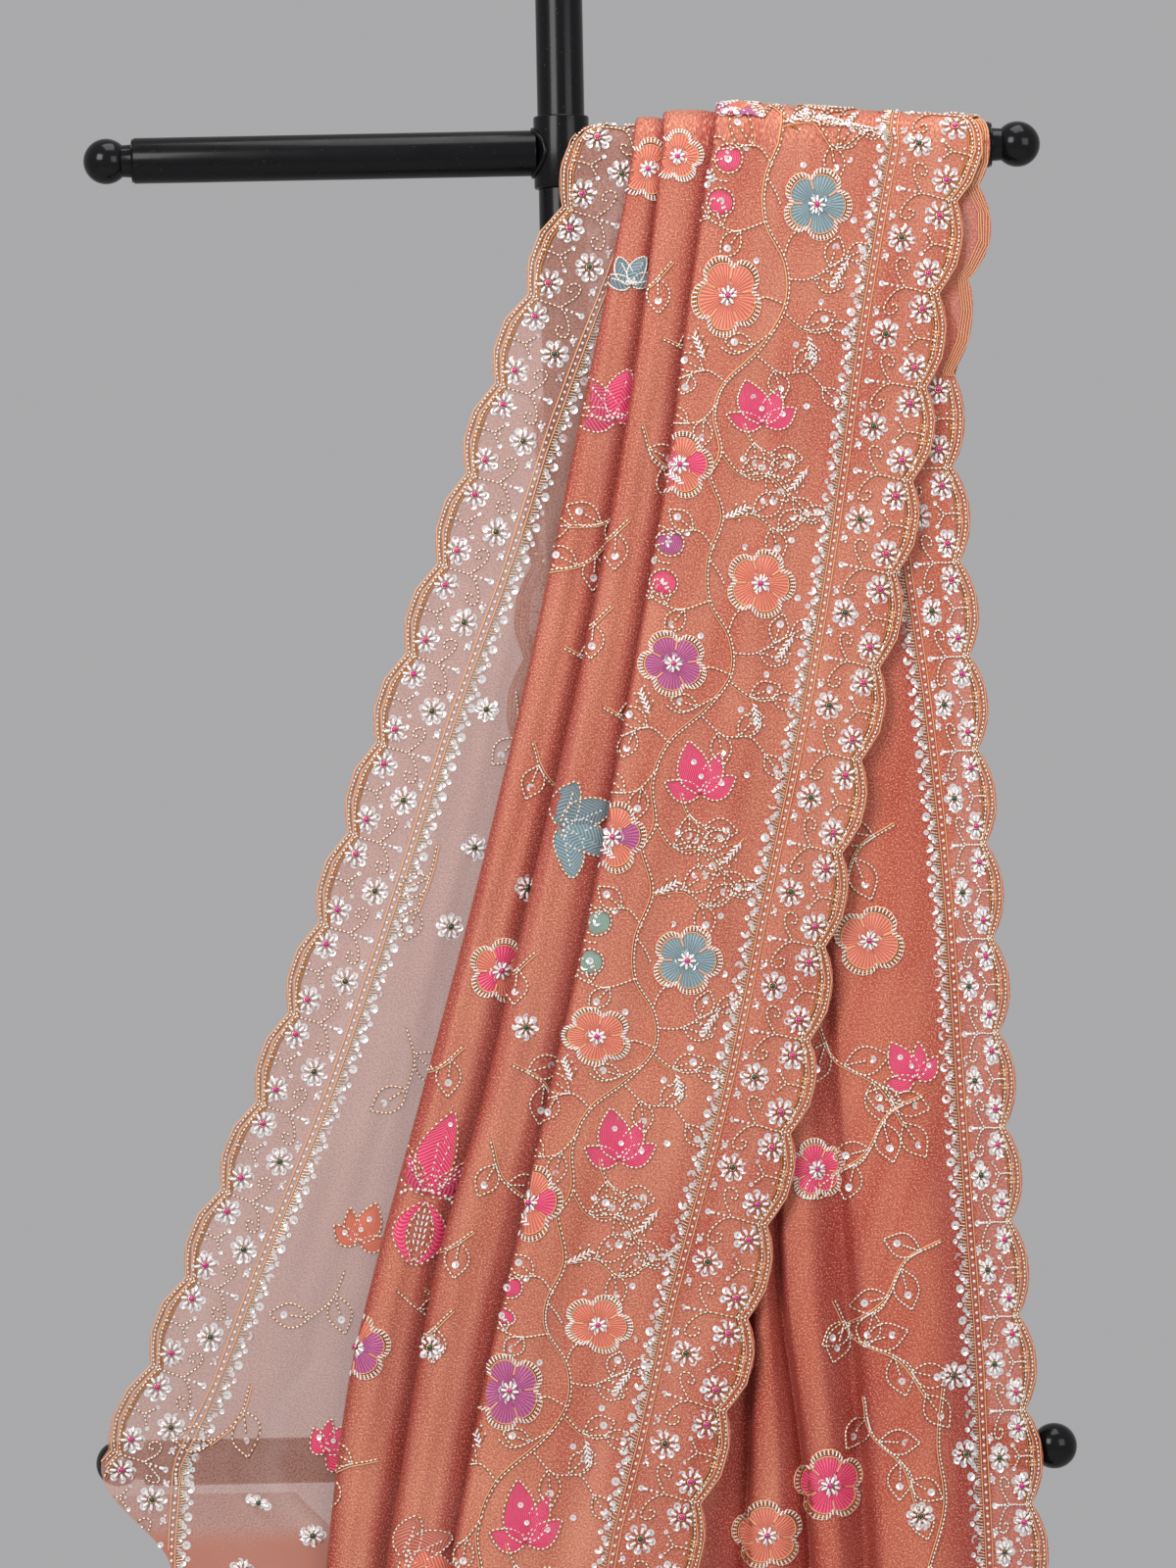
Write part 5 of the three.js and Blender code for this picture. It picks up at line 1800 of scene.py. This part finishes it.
sides = ((BACK, back), (FRONT, front))
sheer_cloth = shell("sheer_cloth", {side: sheer_rows(fall) for side, fall in sides}, organza_sheer)
first_cloth = shell("first_pleat_cloth", {
    side: roll_rows(fall, "first", "second", HEM_DROP["first"]) for side, fall in sides
}, organza_full)
second_cloth = shell("second_pleat_cloth", {
    side: roll_rows(fall, "second", "top", HEM_DROP["second"]) for side, fall in sides
}, organza_full)
top_cloth = shell("top_cloth", {side: top_rows(fall) for side, fall in sides}, organza_full)
under_cloth = shell("under_cloth", {side: under_rows(fall) for side, fall in sides}, organza_under)
return_cloth = shell("sheer_return_cloth", {FRONT: return_rows()}, organza_sheer)

LONG = 2.75                     # metres of cloth from hem to hem, over the arm
CLOTHS = {
    "sheer": (sheer_cloth, 0.095, LONG, "sheer_organza",
              ("front_sheer_panel", "front_sheer_border", "back_sheer_panel", "back_sheer_border")),
    "first": (first_cloth, 0.068, LONG, "organza", ("front_first_pleat", "back_first_pleat")),
    "second": (second_cloth, 0.075, LONG, "organza", ("front_second_pleat", "back_second_pleat")),
    "top": (top_cloth, 0.155, LONG, "organza",
            ("front_top_panel", "front_top_border", "back_top_panel", "back_top_border")),
    "under": (under_cloth, 0.18, LONG, "organza",
              ("front_under_panel", "front_under_border", "back_under_border")),
    "return": (return_cloth, 0.12, 0.64, "sheer_organza", ("front_sheer_return",)),
}
for cloth, _, _, kind, nodes in CLOTHS.values():
    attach(cloth, "root")
    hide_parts(*nodes)
sewn = make_sewn("front", sew_side(front), 1) + make_sewn("back", sew_side(back), 0)


# ---- The stand ----


def turned(name, outline, place=(0, 0, 0), direction=None, material=paint, sides=64):
    """A turned piece from its outline of radius and height, on +Z or along X in a direction."""
    rings = [(radius * MM, height * MM) for radius, height in outline]
    points = []
    for radius, height in rings:
        for i in range(sides):
            angle = math.tau * i / sides
            x, y = radius * math.cos(angle), radius * math.sin(angle)
            points.append((height * direction, x, y * direction) if direction else (x, y, height))
    points = np.array(points) + np.array(place) * MM
    thing = new_object(name, points, ring_faces(len(rings), sides), material)
    thing.data.set_sharp_from_angle(angle=math.radians(38))
    return thing


def rounded(radius, bottom, top, edge, bore=0.0, count=4):
    """The outline of a disc, rod or ring with rounded edges."""
    rise = [(radius - edge * (1 - math.cos(t)), bottom + edge * (1 - math.sin(t)))
            for t in np.linspace(math.pi / 2, 0, count)]
    fall = [(radius - edge * (1 - math.cos(t)), top - edge * (1 - math.sin(t)))
            for t in np.linspace(0, math.pi / 2, count)]
    return [(bore, bottom)] + rise + fall + [(bore, top)] + ([(bore, bottom)] if bore else [])


def weld(height, direction):
    """A small bead of weld where an arm meets its collar."""
    angles = np.linspace(0, math.tau, 49)
    radius = ARM_RADIUS + 0.3
    y, z = radius * np.cos(angles), radius * np.sin(angles)
    x = direction * (np.sqrt(COLLAR_RADIUS ** 2 - np.minimum(y ** 2, COLLAR_RADIUS ** 2)) + 0.5)
    return np.stack([x, y, z + height], axis=1) * MM


def ball_outline(end):
    """A turned plug, a short neck and a ball, from an arm's end."""
    neck = [(0, end + 0.3), (11.8, end + 0.3), (11.8, end + 0.9), (9.0, end + 1.5), (8.8, end + 3.6)]
    angles = np.linspace(math.pi - 0.78, 0, 18)
    ball = [(KNOB_RADIUS * math.sin(t), end + KNOB_REACH + KNOB_RADIUS * math.cos(t)) for t in angles]
    return neck + ball


def build_stand():
    """The tube stand, a piece for each of its solids, and its welds."""
    disc = rounded(BASE_RADIUS, 0, BASE_THICKNESS, 2.5, count=6)
    cap = [(0, POST_TOP), (FINIAL_RADIUS, POST_TOP + 0.3)]
    cap += [(FINIAL_RADIUS * math.cos(t), POST_TOP + 1.8 + (FINIAL_HEIGHT - 1.5) * math.sin(t))
            for t in np.linspace(0, math.pi / 2, 9)]
    bore = POST_RADIUS + 0.2
    made = {
        "base_disc": turned("base_plate", disc, sides=96),
        "base_collar": turned("base_socket", rounded(
            BASE_COLLAR_RADIUS, BASE_THICKNESS, BASE_THICKNESS + BASE_COLLAR_HEIGHT, 1.2, bore)),
        "post": turned("post_tube", rounded(POST_RADIUS, BASE_THICKNESS, POST_TOP, 0.6)),
        "post_finial": turned("post_cap", cap),
    }
    levels = (("upper", UPPER_ARM_HEIGHT, UPPER_ARM_END), ("lower", LOWER_ARM_HEIGHT, LOWER_ARM_END))
    half = COLLAR_HEIGHT / 2
    welds = []
    for level, height, end in levels:
        made[f"{level}_collar"] = turned(
            f"{level}_cross_socket", rounded(COLLAR_RADIUS, height - half, height + half, 1.0, bore))
        for hand, direction in (("left", LEFTWARD), ("right", RIGHTWARD)):
            tube = rounded(ARM_RADIUS, COLLAR_RADIUS - 1.5, end, 0.6)
            made[f"{level}_{hand}_arm"] = turned(f"{level}_{hand}_tube", tube, (0, 0, height), direction)
            made[f"{level}_{hand}_knob"] = turned(
                f"{level}_{hand}_ball", ball_outline(end), (0, 0, height), direction, knob_plastic, 48)
            welds.append(weld(height, direction))
    for node, thing in made.items():
        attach(thing, "root")
        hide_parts(node)
    beads = sewn_threads("arm_welds", threader(), welds, WELD_RADIUS * MM, 8, paint)
    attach(beads, "root")


build_stand()


# ---- Floor, light and camera ----

AIM = (7.7, 1209)
DISTANCE = 3200
TALL = 846.6                    # the height that the camera takes in, at the arm
ROLL = 1.1                      # of the camera, in degrees
SENSOR = 36
FLOOR_HALF = 3.0                # the floor and the lights are in metres
LIGHT_AIM = (0, 0, 1.2)         # on the post, about level with the camera
# Area lights: name, place, size and power.
LIGHTS = (
    ("key_light", (-1.5, -2.3, 2.4), 1.3, 48),
    ("fill_light", (1.9, -2.2, 1.9), 1.5, 22),
    ("top_light", (0.2, -0.4, 3.4), 1.4, 24),
)


def light(name, place, size, power):
    """An area light, turned to its aim."""
    data = bpy.data.lights.new(name, "AREA")
    data.size = size
    data.energy = power
    lamp = bpy.data.objects.new(name, data)
    bpy.context.scene.collection.objects.link(lamp)
    lamp.location = place
    direction = np.array(LIGHT_AIM) - np.array(place)
    lamp.rotation_euler = (
        math.acos(-direction[2] / np.linalg.norm(direction)), 0, math.atan2(-direction[0], direction[1]))


def studio():
    """A grey floor, the lights, an even grey world and the camera."""
    scene = bpy.context.scene
    half = FLOOR_HALF
    corners = [(-half, -half, 0), (half, -half, 0), (half, half, 0), (-half, half, 0)]
    paper = Finish("floor paper", (0.55, 0.55, 0.55), Roughness=0.9).material
    floor = new_object("floor", corners, [(0, 1, 2, 3)], paper)
    for lamp in LIGHTS:
        light(*lamp)
    world = bpy.data.worlds.new("studio")
    world.use_nodes = True
    background = world.node_tree.nodes["Background"].inputs
    background["Color"].default_value = (0.5, 0.5, 0.51, 1)
    background["Strength"].default_value = 0.8
    scene.world = world
    scene.view_settings.view_transform = "Standard"
    camera_data = bpy.data.cameras.new("camera")
    camera_data.sensor_fit = "AUTO"
    camera_data.sensor_width = SENSOR
    camera_data.lens = SENSOR * DISTANCE / TALL
    camera = bpy.data.objects.new("camera", camera_data)
    scene.collection.objects.link(camera)
    camera.location = (AIM[0] * MM, -DISTANCE * MM, AIM[1] * MM)
    camera.rotation_euler = (math.pi / 2, math.radians(ROLL), 0)
    scene.camera = camera


studio()
